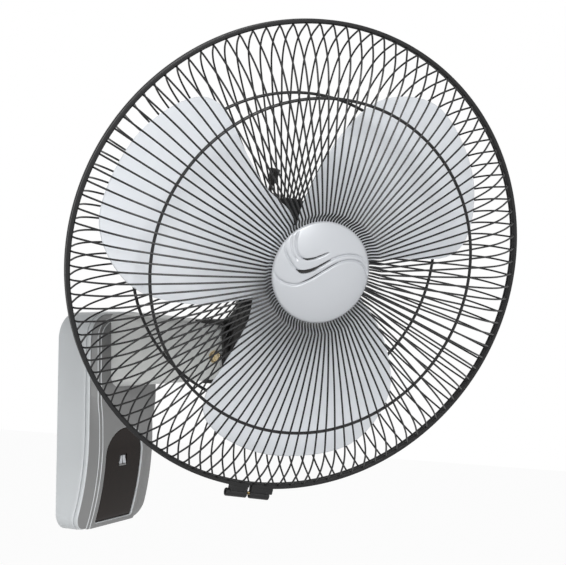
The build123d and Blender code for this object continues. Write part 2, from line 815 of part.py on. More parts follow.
def ring(height, middle, side_length):
    """A welded ring of square wire; it is made of straight facets, like its wires."""
    with BuildPart() as hoop:
        with BuildSketch(Plane.XY.offset(height - side_length / 2)):
            RegularPolygon(middle + side_length / 2, ring_facets)
            RegularPolygon(middle - side_length / 2, ring_facets, mode=Mode.SUBTRACT)
        extrude(amount=side_length)
    return hoop.part


def run_height(run, radius):
    """Height of a wire's middle at a radius."""
    for (outer, low), (inner, high) in zip(run, run[1:]):
        if inner <= radius <= outer:
            return low + (high - low) * (outer - radius) / (outer - inner)


rim_ring_radius = band_radius - band_wall - ring_side / 2 - band_play
rim_weld_radius = (rim_ring_radius - ring_side / 2) * cos(pi / ring_facets) - wire_radius
front_hub_height = front_neck[1] - front_hub_drop
front_run = [
    (rim_weld_radius, wire_start),
    (band_radius - front_shoulder[0], front_shoulder[1]),
    front_neck,
    (front_hub_radius - hub_grip, front_hub_height + hub_plate / 2),
]
rear_run = [
    (rim_weld_radius, -wire_start),
    (band_radius - rear_shoulder[0], -rear_shoulder[1]),
    (rear_hub_radius - hub_grip, -rear_hub_depth),
]
rear_hub_height = -rear_hub_depth - hub_plate / 2
ring_drop = wire_radius + ring_side / 2 + weld_gap
front_ring_height = run_height(front_run, front_ring_radius + ring_side / 2) - ring_drop
rear_ring_height = run_height(rear_run, rear_ring_radius + ring_side / 2) + ring_drop
rim_ring_height = guard_split + ring_side / 2
front_wire = guard_wire(front_run, front_lead)
rear_wire = guard_wire(rear_run, 0)

with BuildPart(rim) as front_guard:
    with PolarLocations(0, wires, start_angle=first_wire):
        add(front_wire)
    with BuildSketch(rim.offset(front_hub_height)):
        RegularPolygon(front_hub_radius, hub_facets)
        RegularPolygon(front_hub_bore, hub_facets, mode=Mode.SUBTRACT)
    extrude(amount=hub_plate)
    add(ring(front_ring_height, front_ring_radius, ring_side))
    add(ring(rim_ring_height, rim_ring_radius, ring_side))
save(front_guard, "front_guard")

with BuildPart(rim) as rear_guard:
    with PolarLocations(0, wires, start_angle=first_wire):
        add(rear_wire)
    with BuildSketch(rim.offset(rear_hub_height)):
        RegularPolygon(rear_hub_radius, hub_facets)
        RegularPolygon(nose_radius + seat_gap, some_facets, mode=Mode.SUBTRACT)
    extrude(amount=hub_plate)
    add(ring(rear_ring_height, rear_ring_radius, ring_side))
    add(ring(-rim_ring_height, rim_ring_radius, ring_side))
save(rear_guard, "rear_guard")

with BuildPart() as guard_lock_ring:
    with BuildSketch(rim.offset(rear_hub_height + hub_plate + seat_gap)):
        RegularPolygon(lock_ring_radius, few_facets)
        RegularPolygon(nose_radius + seat_gap, some_facets, mode=Mode.SUBTRACT)
    extrude(amount=lock_ring_thickness)
save(guard_lock_ring, "guard_lock_ring")

# ---- Band round the two guards, closed by one screw ----

band_half = guard_split + ring_side + seat_gap + band_wall
clip_angle = radians(lug_direction)
clip_radius = band_radius + lug_depth / 2
clip = Plane(
    origin=rim.from_local_coords((clip_radius * cos(clip_angle), clip_radius * sin(clip_angle), 0)),
    x_dir=rim.z_dir,
    z_dir=rim.y_dir * cos(clip_angle) - rim.x_dir * sin(clip_angle),
)
with BuildPart() as guard_band:
    with BuildSketch(rim.offset(-band_half)):
        RegularPolygon(band_radius, ring_facets)
        RegularPolygon(band_radius - band_wall, ring_facets, mode=Mode.SUBTRACT)
    extrude(amount=2 * band_half)
    with BuildSketch(rim.offset(-band_half), rim.offset(band_half - band_wall)):
        RegularPolygon(band_radius, ring_facets)
        RegularPolygon(band_radius - band_lip, ring_facets, mode=Mode.SUBTRACT)
    extrude(amount=band_wall)
    with BuildSketch(rim.offset(-lug_width / 2)):
        with PolarLocations(clip_radius - band_wall, 1, start_angle=lug_direction):
            Rectangle(lug_depth, 2 * lug_length + lug_gap)
    extrude(amount=lug_width)
    with BuildSketch(rim.offset(-band_half)):
        with PolarLocations(clip_radius, 1, start_angle=lug_direction):
            Rectangle(4 * lug_depth, lug_gap)
    extrude(amount=2 * band_half, mode=Mode.SUBTRACT)
    with BuildSketch(clip):
        RegularPolygon(band_screw_radius + seat_gap, few_facets)
    extrude(amount=lug_length, both=True, mode=Mode.SUBTRACT)
    with BuildSketch(clip.offset(lug_screw_seat), clip.offset(-lug_screw_seat)) as pockets:
        RegularPolygon(band_nut_radius + seat_gap, few_facets, major_radius=False)
    extrude(pockets.sketch.faces()[0], amount=lug_length, mode=Mode.SUBTRACT)
    extrude(pockets.sketch.faces()[1], amount=-lug_length, mode=Mode.SUBTRACT)
save(guard_band, "guard_band")

with BuildPart() as band_screw:
    with BuildSketch(clip.offset(-lug_screw_seat - band_nut_thickness)):
        RegularPolygon(band_screw_radius, few_facets)
    extrude(amount=2 * lug_screw_seat + band_nut_thickness)
    with BuildSketch(clip.offset(lug_screw_seat)):
        RegularPolygon(band_nut_radius, few_facets)
    extrude(amount=band_nut_thickness)
save(band_screw, "band_screw")

with BuildPart() as band_nut:
    with BuildSketch(clip.offset(-lug_screw_seat)):
        RegularPolygon(band_nut_radius, 6)
        RegularPolygon(band_screw_radius + seat_gap, few_facets, mode=Mode.SUBTRACT)
    extrude(amount=-band_nut_thickness)
save(band_nut, "band_nut")

# ---- Badge ----

badge_seat = front_hub_height + hub_plate + seat_gap
badge_rim = badge_seat + badge_edge
plate_front = front_hub_height - seat_gap
with BuildPart() as badge:
    step_radius = 0.65 * badge_radius
    step_height = badge_rim + 0.7 * badge_crown
    side_bevel = (badge_radius - step_radius, step_height - badge_rim)
    add(drum(rim, badge_radius, badge_seat, step_height, hub_facets, [side_bevel]))
    top_bevel = (0.55 * step_radius, badge_rim + badge_crown - step_height)
    add(drum(rim, step_radius, badge_rim, badge_rim + badge_crown, hub_facets, [top_bevel]))
    add(drum(rim, badge_boss, plate_front, badge_rim, some_facets))
    add(drum(rim, badge_boss - badge_wall, plate_front, badge_rim, some_facets), mode=Mode.SUBTRACT)
save(badge, "badge")

with BuildPart() as badge_plate:
    with BuildSketch(rim.offset(plate_front - seat_gap)):
        RegularPolygon(badge_plate_radius, hub_facets)
        RegularPolygon(badge_plate_radius / 2, 6, mode=Mode.SUBTRACT)
    extrude(amount=-badge_plate_thickness)
save(badge_plate, "badge_plate")

# ---- Blade ----


def polar(direction, radius):
    """Point of the blade's outline, by its direction from the leading edge and its radius."""
    return (radius * cos(radians(direction)), radius * sin(radians(direction)))


def sheet_point(step, radius):
    """Point of the blade's twisted sheet, which climbs evenly round the axis."""
    turn = blade_span[0] + step * (blade_span[1] - blade_span[0]) / blade_strips
    return (*polar(turn, radius), blade_low + blade_rise * turn - blade_thickness / 2)


with BuildPart() as one_blade:
    for step in range(blade_strips):
        for inner, outer in zip(blade_stations, blade_stations[1:]):
            for corners in [
                (sheet_point(step, inner), sheet_point(step, outer), sheet_point(step + 1, inner)),
                (sheet_point(step, outer), sheet_point(step + 1, outer), sheet_point(step + 1, inner)),
            ]:
                extrude(Face(Wire.make_polygon(corners)), amount=blade_thickness, dir=(0, 0, 1))
    with BuildSketch(Plane.XY.offset(-hub_radius - blade_tip_radius)):
        with BuildLine():
            Polyline(polar(100, blade_root_radius), polar(-4, blade_root_radius), polar(1, 110), polar(4, 184))
            ThreePointArc(polar(4, 184), polar(24, 214), polar(46, blade_tip_radius))
            ThreePointArc(polar(46, blade_tip_radius), polar(56, 220), polar(61, 208))
            ThreePointArc(polar(61, 208), polar(77, 149), polar(100, 54))
            Line(polar(100, 54), polar(100, blade_root_radius))
        make_face()
    extrude(amount=2 * (hub_radius + blade_tip_radius), mode=Mode.INTERSECT)

with BuildPart(rim) as blade:
    with PolarLocations(0, blades, start_angle=blade_lead):
        add(one_blade.part)
    with BuildSketch(rim.offset(hub_back)):
        RegularPolygon(hub_radius, many_facets)
    extrude(amount=hub_front - hub_back)
    with BuildSketch(rim.offset(hub_back)):
        RegularPolygon(hub_radius - hub_wall, many_facets)
        RegularPolygon(hub_core_radius, few_facets, mode=Mode.SUBTRACT)
    extrude(amount=hub_front - hub_back - hub_wall, mode=Mode.SUBTRACT)
    with BuildSketch(rim.offset(hub_back)):
        Rectangle(drive_pin_length + 2 * seat_gap, 2 * drive_pin_radius + 2 * seat_gap)
    extrude(amount=drive_pin_height + drive_pin_radius + seat_gap - hub_back, mode=Mode.SUBTRACT)
    with BuildSketch(rim.offset(hub_back)):
        RegularPolygon(shaft_radius + seat_gap, few_facets, major_radius=False)
    extrude(amount=hub_front - hub_back, mode=Mode.SUBTRACT)
save(blade, "blade")

with BuildPart() as drive_pin:
    with BuildSketch(pin_plane):
        RegularPolygon(drive_pin_radius, few_facets)
    extrude(amount=drive_pin_length / 2, both=True)
save(drive_pin, "drive_pin")

cap_back = hub_front + seat_gap
with BuildPart() as blade_cap:
    add(drum(rim, cap_radius, cap_back, cap_back + cap_length, some_facets, [(cap_bevel, cap_bevel)]))
    bore = shaft_radius + free_gap
    add(drum(rim, bore, cap_back, shaft_front + seat_gap, few_facets), mode=Mode.SUBTRACT)
save(blade_cap, "blade_cap")
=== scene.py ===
import bmesh
import bpy
import json
from math import atan2, cos, degrees, exp, pi, radians, sin, sqrt
from mathutils import Matrix, Vector


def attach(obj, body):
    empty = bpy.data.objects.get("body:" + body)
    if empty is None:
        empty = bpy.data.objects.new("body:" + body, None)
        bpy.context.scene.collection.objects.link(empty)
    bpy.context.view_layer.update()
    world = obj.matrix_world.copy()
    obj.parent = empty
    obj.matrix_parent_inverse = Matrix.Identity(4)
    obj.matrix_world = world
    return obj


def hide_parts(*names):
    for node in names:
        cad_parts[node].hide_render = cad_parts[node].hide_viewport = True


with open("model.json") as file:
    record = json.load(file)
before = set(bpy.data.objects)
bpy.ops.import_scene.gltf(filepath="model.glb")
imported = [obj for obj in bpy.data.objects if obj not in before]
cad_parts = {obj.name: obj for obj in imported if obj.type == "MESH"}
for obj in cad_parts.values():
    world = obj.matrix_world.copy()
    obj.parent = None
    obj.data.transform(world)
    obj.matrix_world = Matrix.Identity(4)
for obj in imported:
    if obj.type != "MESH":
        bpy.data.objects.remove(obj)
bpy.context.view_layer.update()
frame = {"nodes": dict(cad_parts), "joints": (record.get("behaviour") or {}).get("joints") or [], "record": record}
scene = bpy.context.scene
scene.view_settings.view_transform = "Standard"
joints = {joint["name"]: joint for joint in frame["joints"]}


def mm(*values):
    return tuple(value * 0.001 for value in values)


def frameOf(origin, xDir, yDir, zDir):
    return Matrix.Translation(Vector(origin)) @ Matrix((xDir, yDir, zDir)).transposed().to_4x4()


def shifted(*place):
    return Matrix.Translation(Vector(place))


def turned(angle, axis="Z"):
    return Matrix.Rotation(radians(angle), 4, axis)


# pieces are modelled in millimetres in three frames: the wall seen from the front, the neck seen along the
# wall with its origin in the tilt pivot, and the head with its origin on the guards' plane
right = Vector((1, 0, 0))
up = Vector((0, 0, 1))
guardPlane = 0.1167   # metres ahead of the rotor joint
swingAxis = Vector(joints["swing"]["axis"]).normalized()
fanAxis = Vector(joints["rotor"]["axis"]).normalized()
rimCentre = Vector(joints["rotor"]["pos_m"]) + guardPlane * fanAxis
headFrame = frameOf(rimCentre, swingAxis.cross(fanAxis), swingAxis, fanAxis)
wallFrame = frameOf((0, 0, 0), right, up, Vector((0, -1, 0)))
neckFrame = frameOf(joints["tilt"]["pos_m"], right, swingAxis, right.cross(swingAxis))
lying = turned(-90, "X")   # lays the axis of a turned part along the frame's Y

# camera, floor and light
camera = {"focalPixels": 1300, "framePixels": 566, "sensor": 36, "nearest": 0.05,
          "place": (-1.2765, -1.01205, 0.1665), "ahead": (0.8660254, 0.5, 0)}
ahead = Vector(camera["ahead"])
cameraData = bpy.data.cameras.new("camera")
cameraData.sensor_fit = "HORIZONTAL"
cameraData.sensor_width = camera["sensor"]
cameraData.lens = camera["sensor"] * camera["focalPixels"] / camera["framePixels"]
cameraData.clip_start = camera["nearest"]
cameraObject = bpy.data.objects.new("camera", cameraData)
cameraObject.matrix_world = frameOf(camera["place"], ahead.cross(up), up, -ahead)
scene.collection.objects.link(cameraObject)
scene.camera = cameraObject

studio = {"paper": (0.9, 0.9, 0.9, 1), "seenWhite": 0.96, "skyLight": 0.24, "floor": -0.62, "floorHalf": 4}


def shaderTree(name):
    material = bpy.data.materials.new(name)
    material.use_nodes = True
    tree = material.node_tree
    tree.nodes.clear()
    output = tree.nodes.new("ShaderNodeOutputMaterial")
    return material, tree, output


def seenRays(tree, share):
    paths = tree.nodes.new("ShaderNodeLightPath")
    mirrored, either, part = [tree.nodes.new("ShaderNodeMath") for _ in range(3)]
    mirrored.operation = "MAXIMUM"
    either.operation = "MAXIMUM"
    part.operation = "MULTIPLY"
    part.inputs[1].default_value = share
    tree.links.new(paths.outputs["Is Glossy Ray"], mirrored.inputs[0])
    tree.links.new(paths.outputs["Is Transmission Ray"], mirrored.inputs[1])
    tree.links.new(paths.outputs["Is Camera Ray"], either.inputs[0])
    tree.links.new(mirrored.outputs[0], either.inputs[1])
    tree.links.new(either.outputs[0], part.inputs[0])
    return part.outputs[0]


def mixSeen(tree, share, lit, seen, output):
    mix = tree.nodes.new("ShaderNodeMixShader")
    tree.links.new(seenRays(tree, share), mix.inputs[0])
    tree.links.new(lit.outputs[0], mix.inputs[1])
    tree.links.new(seen.outputs[0], mix.inputs[2])
    tree.links.new(mix.outputs[0], output.inputs[0])


paperMaterial, paperTree, paperOutput = shaderTree("palePaper")
paper = paperTree.nodes.new("ShaderNodeBsdfDiffuse")
paper.inputs["Color"].default_value = studio["paper"]
paperGlow = paperTree.nodes.new("ShaderNodeEmission")
mixSeen(paperTree, studio["seenWhite"], paper, paperGlow, paperOutput)   # what is left shows the shadow

world = bpy.data.worlds.new("studio")
scene.world = world
world.use_nodes = True
worldTree = world.node_tree
worldTree.nodes.clear()
skies = []
for strength in (studio["skyLight"], 1):
    sky = worldTree.nodes.new("ShaderNodeBackground")
    sky.inputs["Color"].default_value = (1, 1, 1, 1)
    sky.inputs["Strength"].default_value = strength
    skies.append(sky)
mixSeen(worldTree, 1, *skies, worldTree.nodes.new("ShaderNodeOutputWorld"))

floorMesh = bmesh.new()
bmesh.ops.create_grid(floorMesh, x_segments=2, y_segments=2, size=studio["floorHalf"],
                      matrix=shifted(0, 0, studio["floor"]))
floorData = bpy.data.meshes.new("floor")
floorMesh.to_mesh(floorData)
floorMesh.free()
floorData.materials.append(paperMaterial)
floorObject = bpy.data.objects.new("floor", floorData)
scene.collection.objects.link(floorObject)

lamps = [
    {"name": "keyLamp", "place": (-1.72, -1.82, 1.14), "size": 0.9, "power": 58},
    {"name": "lowLamp", "place": (-2.0, -0.35, -0.5), "size": 1.1, "power": 10},
    {"name": "fillLamp", "place": (0.9, -1.9, 0.5), "size": 1.4, "power": 3},
]
for lamp in lamps:
    lampData = bpy.data.lights.new(lamp["name"], "AREA")
    lampData.size = lamp["size"]
    lampData.energy = lamp["power"]
    lampObject = bpy.data.objects.new(lamp["name"], lampData)
    lampPlace = Vector(lamp["place"])
    lampObject.matrix_world = (rimCentre - lampPlace).to_track_quat("-Z", "Y").to_matrix().to_4x4()
    lampObject.matrix_world.translation = lampPlace
    scene.collection.objects.link(lampObject)
print("stage set")

# materials: one shared group makes fine moulding grain, slight colour drift and a bump
grain = {"drift": 14, "driftDetail": 4, "fineDetail": 2, "from": 0.35, "to": 0.65, "bump": 0.0004, "coatRough": 0.08}
grainGroup = bpy.data.node_groups.new("surfaceGrain", "ShaderNodeTree")
for way, sockets in [("INPUT", {"Base": "Color", "Tone": "Color", "Grain Size": "Float", "Bump Height": "Float",
                                "Rough Low": "Float", "Rough High": "Float"}),
                     ("OUTPUT", {"Color": "Color", "Roughness": "Float", "Normal": "Vector"})]:
    for socketName, kind in sockets.items():
        grainGroup.interface.new_socket(socketName, in_out=way, socket_type="NodeSocket" + kind)
grainIn = grainGroup.nodes.new("NodeGroupInput")
grainOut = grainGroup.nodes.new("NodeGroupOutput")
coordinates = grainGroup.nodes.new("ShaderNodeTexCoord")
drift = grainGroup.nodes.new("ShaderNodeTexNoise")
drift.inputs["Scale"].default_value = grain["drift"]
drift.inputs["Detail"].default_value = grain["driftDetail"]
fine = grainGroup.nodes.new("ShaderNodeTexNoise")
fine.inputs["Detail"].default_value = grain["fineDetail"]
tint = grainGroup.nodes.new("ShaderNodeMix")
tint.data_type = "RGBA"
span = grainGroup.nodes.new("ShaderNodeMapRange")
span.inputs["From Min"].default_value = grain["from"]
span.inputs["From Max"].default_value = grain["to"]
bump = grainGroup.nodes.new("ShaderNodeBump")
bump.inputs["Distance"].default_value = grain["bump"]
for source, outlet, target, inlet in [
        (coordinates, "Object", drift, "Vector"), (coordinates, "Object", fine, "Vector"),
        (grainIn, "Grain Size", fine, "Scale"), (drift, "Fac", tint, "Factor"),
        (grainIn, "Base", tint, "A"), (grainIn, "Tone", tint, "B"), (fine, "Fac", span, "Value"),
        (grainIn, "Rough Low", span, "To Min"), (grainIn, "Rough High", span, "To Max"),
        (fine, "Fac", bump, "Height"), (grainIn, "Bump Height", bump, "Strength"),
        (tint, "Result", grainOut, "Color"), (span, "Result", grainOut, "Roughness"),
        (bump, "Normal", grainOut, "Normal")]:
    grainGroup.links.new(source.outputs[outlet], target.inputs[inlet])


def makeMaterial(name, base, tone, rough, grainSize=900, height=0.15, metallic=0.0, specular=0.5):
    material, tree, output = shaderTree(name)
    grainNode = tree.nodes.new("ShaderNodeGroup")
    grainNode.node_tree = grainGroup
    shader = tree.nodes.new("ShaderNodeBsdfPrincipled")
    for node, values in [
            (grainNode, {"Base": (*base, 1), "Tone": (*tone, 1), "Grain Size": grainSize, "Bump Height": height,
                         "Rough Low": rough[0], "Rough High": rough[1]}),
            (shader, {"Metallic": metallic, "Specular IOR Level": specular, "Coat Weight": 0,
                      "Coat Roughness": grain["coatRough"]})]:
        for socketName, value in values.items():
            node.inputs[socketName].default_value = value
    tree.links.new(grainNode.outputs["Color"], shader.inputs["Base Color"])
    tree.links.new(grainNode.outputs["Roughness"], shader.inputs["Roughness"])
    tree.links.new(grainNode.outputs["Normal"], shader.inputs["Normal"])
    tree.links.new(shader.outputs[0], output.inputs[0])
    return material


materials = {
    "silver_plastic": makeMaterial("silverPaint", (0.61, 0.635, 0.65), (0.56, 0.585, 0.6), (0.34, 0.46), metallic=0.08),
    "dark_panel": makeMaterial("darkGloss", (0.009, 0.007, 0.005), (0.017, 0.009, 0.007), (0.16, 0.2), 700, 0.01,
                               specular=0.12),
    "window": makeMaterial("windowSilver", (0.62, 0.64, 0.67), (0.55, 0.56, 0.6), (0.2, 0.3)),
    "dark_plastic": makeMaterial("darkPlastic", (0.016, 0.015, 0.015), (0.022, 0.021, 0.02), (0.42, 0.6), 1100, 0.3,
                                 specular=0.3),
    "black_rubber": makeMaterial("blackRubber", (0.02, 0.02, 0.02), (0.028, 0.028, 0.028), (0.7, 0.85), 900, 0.3,
                                 specular=0.3),
    "board": makeMaterial("boardGreen", (0.07, 0.2, 0.1), (0.05, 0.16, 0.08), (0.4, 0.5)),
    "zinc": makeMaterial("zincPlate", (0.6, 0.6, 0.57), (0.52, 0.52, 0.5), (0.28, 0.42), 1500, 0.1, metallic=1),
    "steel": makeMaterial("turnedSteel", (0.56, 0.56, 0.56), (0.48, 0.48, 0.48), (0.22, 0.34), 1500, 0.1, metallic=1),
    "brass": makeMaterial("brassTurned", (0.5, 0.42, 0.27), (0.36, 0.29, 0.18), (0.2, 0.34), 1500, 0.1, metallic=1),
    "copper": makeMaterial("copperEnamel", (0.5, 0.22, 0.1), (0.4, 0.16, 0.07), (0.3, 0.4), 900, 0.3, metallic=0.6),
    "dark_metal": makeMaterial("darkEnamel", (0.022, 0.02, 0.018), (0.032, 0.03, 0.028), (0.3, 0.44), 700, 0.25,
                               specular=0.4),
    "black_wire": makeMaterial("wireEnamel", (0.008, 0.008, 0.009), (0.013, 0.013, 0.013), (0.34, 0.48),
                               specular=0.3),
    "badge_silver": makeMaterial("badgeSilver", (0.44, 0.455, 0.478), (0.405, 0.42, 0.443), (0.3, 0.4), 1200, 0.06,
                                 metallic=0.1),
    "blade_silver": makeMaterial("bladeSilver", (0.69, 0.715, 0.75), (0.65, 0.675, 0.71), (0.34, 0.44), 1000, 0.08,
                                 metallic=0.05),
    # the cover's silver: partly its own darker tone, partly painted shade for the head's shadow on the housing's front
    "coverSilverAndShade": makeMaterial("coverSilverAndShade", (0.236, 0.238, 0.239), (0.202, 0.203, 0.202), (0.34, 0.46),
                                metallic=0.15),
    # the arm's silver: a lighter copy of the housing's, painted light that makes up for the head's shadow on the arm
    "armSilverLit": makeMaterial("armSilverLit", (0.7, 0.71, 0.7), (0.65, 0.66, 0.65), (0.38, 0.5), metallic=0.05),
}
slotOf = {part["node"]: part["material_slot"] for part in frame["record"]["subparts"]}
for nodeName, nodeObject in frame["nodes"].items():
    nodeObject.data.materials.clear()
    nodeObject.data.materials.append(materials[slotOf[nodeName]])
print("materials made")


def finishPiece(name, mesh, place, body, slotName, node, sharp=35, paints=None):
    bmesh.ops.remove_doubles(mesh, verts=mesh.verts, dist=0.001)
    bmesh.ops.recalc_face_normals(mesh, faces=mesh.faces)
    bmesh.ops.transform(mesh, matrix=place @ Matrix.Scale(0.001, 4), verts=mesh.verts)
    data = bpy.data.meshes.new(name)
    mesh.to_mesh(data)
    mesh.free()
    data.shade_smooth()
    data.set_sharp_from_angle(angle=radians(sharp))
    for paint in paints or [slotName]:
        data.materials.append(materials[paint])
    piece = bpy.data.objects.new(name, data)
    scene.collection.objects.link(piece)
    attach(piece, body)
    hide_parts(node)


def edgesOf(made):
    return [part for part in made if isinstance(part, bmesh.types.BMEdge)]


def loft(mesh, rows, capped=False, place=Matrix()):   # draws the first row out through all the others
    ring = [mesh.verts.new(place @ Vector(point)) for point in rows[0]]
    edges = firstEdges = [mesh.edges.new(pair) for pair in zip(ring, ring[1:] + ring[:1])]
    rings = [ring]
    for row in rows[1:]:
        made = bmesh.ops.extrude_edge_only(mesh, edges=edges)["geom"]
        drawn = {part for part in made if isinstance(part, bmesh.types.BMVert)}
        ring = [next(edge.other_vert(vert) for edge in vert.link_edges if edge.other_vert(vert) in drawn)
                for vert in ring]
        edges = edgesOf(made)
        for vert, point in zip(ring, row):
            vert.co = place @ Vector(point)
        rings.append(ring)
    if capped:
        bmesh.ops.edgeloop_fill(mesh, edges=firstEdges)
        bmesh.ops.edgeloop_fill(mesh, edges=edges)
    return rings


def lathe(mesh, profile, steps, place=Matrix(), closed=False, sweep=360):   # profile points are radius and height
    chain = [mesh.verts.new(place @ Vector((radius, 0, height))) for radius, height in profile]
    edges = [mesh.edges.new(pair) for pair in zip(chain, chain[1:] + (chain[:1] if closed else []))]
    made = bmesh.ops.spin(mesh, geom=chain + edges, cent=place.translation, axis=place.col[2].xyz,
                          angle=radians(sweep), steps=steps, use_merge=sweep == 360)["geom_last"]
    if sweep < 360:
        bmesh.ops.edgeloop_fill(mesh, edges=edges)
        bmesh.ops.edgeloop_fill(mesh, edges=edgesOf(made))


def repeat(mesh, rings, count):   # copies what was drawn through these rings round the frame's Z
    verts = [vert for ring in rings for vert in ring]
    edges = dict.fromkeys(edge for vert in verts for edge in vert.link_edges)
    faces = dict.fromkeys(face for vert in verts for face in vert.link_faces)
    bmesh.ops.spin(mesh, geom=[*verts, *edges, *faces], cent=(0, 0, 0), axis=up,
                   angle=2 * pi * (count - 1) / count, steps=count - 1, use_duplicate=True)


def flute(mesh, count, depth, power, fluted):   # draws in the verts that fluted(reach, height) picks
    for vert in mesh.verts:
        reach = vert.co.xy.length
        if fluted(reach, vert.co.z):
            wave = max(0, cos(count * atan2(vert.co.y, vert.co.x))) ** power
            vert.co.xy = vert.co.xy * (1 - depth * wave / reach)


def softBox(mesh, low, high, soft, place=Matrix(), segments=3):
    low, high = [Vector(map(pick, low, high)) for pick in (min, max)]
    verts = bmesh.ops.create_cube(mesh, size=1)["verts"]
    bmesh.ops.scale(mesh, vec=high - low, verts=verts)
    bmesh.ops.translate(mesh, vec=(low + high) / 2, verts=verts)
    bmesh.ops.transform(mesh, matrix=place, verts=verts)
    edges = list(dict.fromkeys(edge for vert in verts for edge in vert.link_edges))
    bmesh.ops.bevel(mesh, geom=edges, offset=soft, segments=segments, profile=0.5, affect="EDGES", material=-1)


def turnsOf(count):
    return [2 * pi * step / count for step in range(count)]


def polar(direction, radius):
    return Vector((radius * cos(radians(direction)), radius * sin(radians(direction))))


def smoothStep(value):
    share = min(1, max(0, value))
    return share * share * (3 - 2 * share)


def smoothPath(points, spans):
    ends = [2 * Vector(points[0]) - Vector(points[1])] + [Vector(point) for point in points]
    ends.append(2 * ends[-1] - ends[-2])
    path = []
    for index in range(1, len(ends) - 2):
        before, start, stop, after = ends[index - 1:index + 3]
        for step in range(spans):
            t = step / spans
            path.append(0.5 * (2 * start + (stop - before) * t + (2 * before - 5 * start + 4 * stop - after) * t * t
                               + (3 * start - before - 3 * stop + after) * t ** 3))
    return path + [ends[-2]]


def roundedProfile(points, radius, steps=4):
    path = []
    for index, point in enumerate(points):
        corner = Vector(point)
        before = Vector(points[index - 1]) - corner
        after = Vector(points[(index + 1) % len(points)]) - corner
        cut = min(radius, before.length / 2.2, after.length / 2.2)
        start = corner + before.normalized() * cut
        stop = corner + after.normalized() * cut
        for step in range(steps + 1):
            t = step / steps
            path.append((1 - t) ** 2 * start + 2 * t * (1 - t) * corner + t * t * stop)
    return path


# guards: formed wires, two welded rings and a middle plate each
guards = {
    "wires": 108, "first": 0.8, "wireRadius": 1.02, "wireSides": 8, "bends": 4,
    "ringRadius": 1.65, "ringSides": 10, "ringSteps": 216, "rimRadius": 249.6, "plateSteps": 144,
}
frontGuard = {
    "lead": 2.9, "ring": (176.2, 41.2), "rimHeight": 2.2,
    "wire": [(248.6, 2.2), (245.6, 8.4), (238.7, 14.8), (224.4, 26.9), (205.3, 37.0), (175.7, 44.2), (133.7, 52.7),
             (95.5, 58.1), (67.5, 60.8), (62.0, 60.0), (57.6, 54.6), (54.0, 52.0), (51.0, 51.2)],
    "plate": [(52.6, 49.0), (52.6, 50.7), (42, 50.7), (42, 49.0)], "plateSoft": 0.5,
}
rearGuard = {
    "lead": 0, "ring": (174.6, -45.4), "rimHeight": -2.2,
    "wire": [(248.6, -2.2), (243.6, -12.0), (237.0, -23.0), (226.0, -34.0), (212.0, -41.0), (198.0, -44.5),
             (175.0, -48.0), (120.0, -56.0), (57.0, -63.2)],
    "plate": [(58.5, -64.9), (58.5, -61.9), (48, -61.9), (44, -60.9), (14.2, -60.9), (14.2, -64.9)], "plateSoft": 0.8,
}


def guardMesh(guard):
    mesh = bmesh.new()
    for radius, height in [guard["ring"], (guards["rimRadius"], guard["rimHeight"])]:
        ring = [(radius + guards["ringRadius"] * sin(turn), height + guards["ringRadius"] * cos(turn))
                for turn in turnsOf(guards["ringSides"])]
        lathe(mesh, ring, guards["ringSteps"], closed=True)
    lathe(mesh, roundedProfile(guard["plate"], guard["plateSoft"]), guards["plateSteps"], closed=True)
    path = [Vector((point.x, guard["lead"], point.y)) for point in smoothPath(guard["wire"], guards["bends"])]
    across = Vector((0, 1, 0))
    rows = []
    for index, point in enumerate(path):
        along = path[min(index + 1, len(path) - 1)] - path[max(index - 1, 0)]
        outward = along.cross(across).normalized()
        rows.append([point + guards["wireRadius"] * (cos(turn) * across + sin(turn) * outward)
                     for turn in turnsOf(guards["wireSides"])])
    repeat(mesh, loft(mesh, rows, True, turned(guards["first"])), guards["wires"])
    return mesh


finishPiece("frontGuardWires", guardMesh(frontGuard), headFrame, "head", "black_wire", "front_guard")
finishPiece("rearGuardWires", guardMesh(rearGuard), headFrame, "head", "black_wire", "rear_guard")
print("guards made")

# band with its clip: a grooved strip, two lugs with a barrel each, and the screw between them
band = {
    "outer": 253.0, "half": 4.9, "grooveDepth": 0.8, "grooveHalf": 1.1, "grooveEdge": 1.7, "wall": 1.2, "side": 2.0,
    "lip": 249.2, "soft": 0.6, "gap": 0.7, "steps": 300,
}
clip = {
    "turn": -89.0, "start": 1.9, "lugs": [(-1, 22.5, 26.0), (1, 27.3, 24.6)],   # side, length of web, end of barrel
    "webs": [(251.6, 259.0, 4.2, 0, 1.3), (256.6, 262.0, 2.9, 2.5, 0.9)],   # inner, outer, half, shorter by, soft
    "barrelAt": 261.8, "barrelSteps": 28, "ribFirst": 5.5, "ribLast": 5.0, "ribHalf": 0.7,
}
bandMesh = bmesh.new()
outer, half = band["outer"], band["half"]
bandHalf = [(outer - band["grooveDepth"], band["grooveHalf"]), (outer, band["grooveEdge"]), (outer, half),
            (band["lip"], half), (band["lip"], half - band["wall"]), (outer - band["side"], half - band["wall"])]
bandSection = [(radius, -height) for radius, height in reversed(bandHalf)] + bandHalf
bandTurn = turned(clip["turn"] + band["gap"] / 2)
lathe(bandMesh, roundedProfile(bandSection, band["soft"], 3), band["steps"], bandTurn, True, 360 - band["gap"])
clipTurn = turned(clip["turn"])
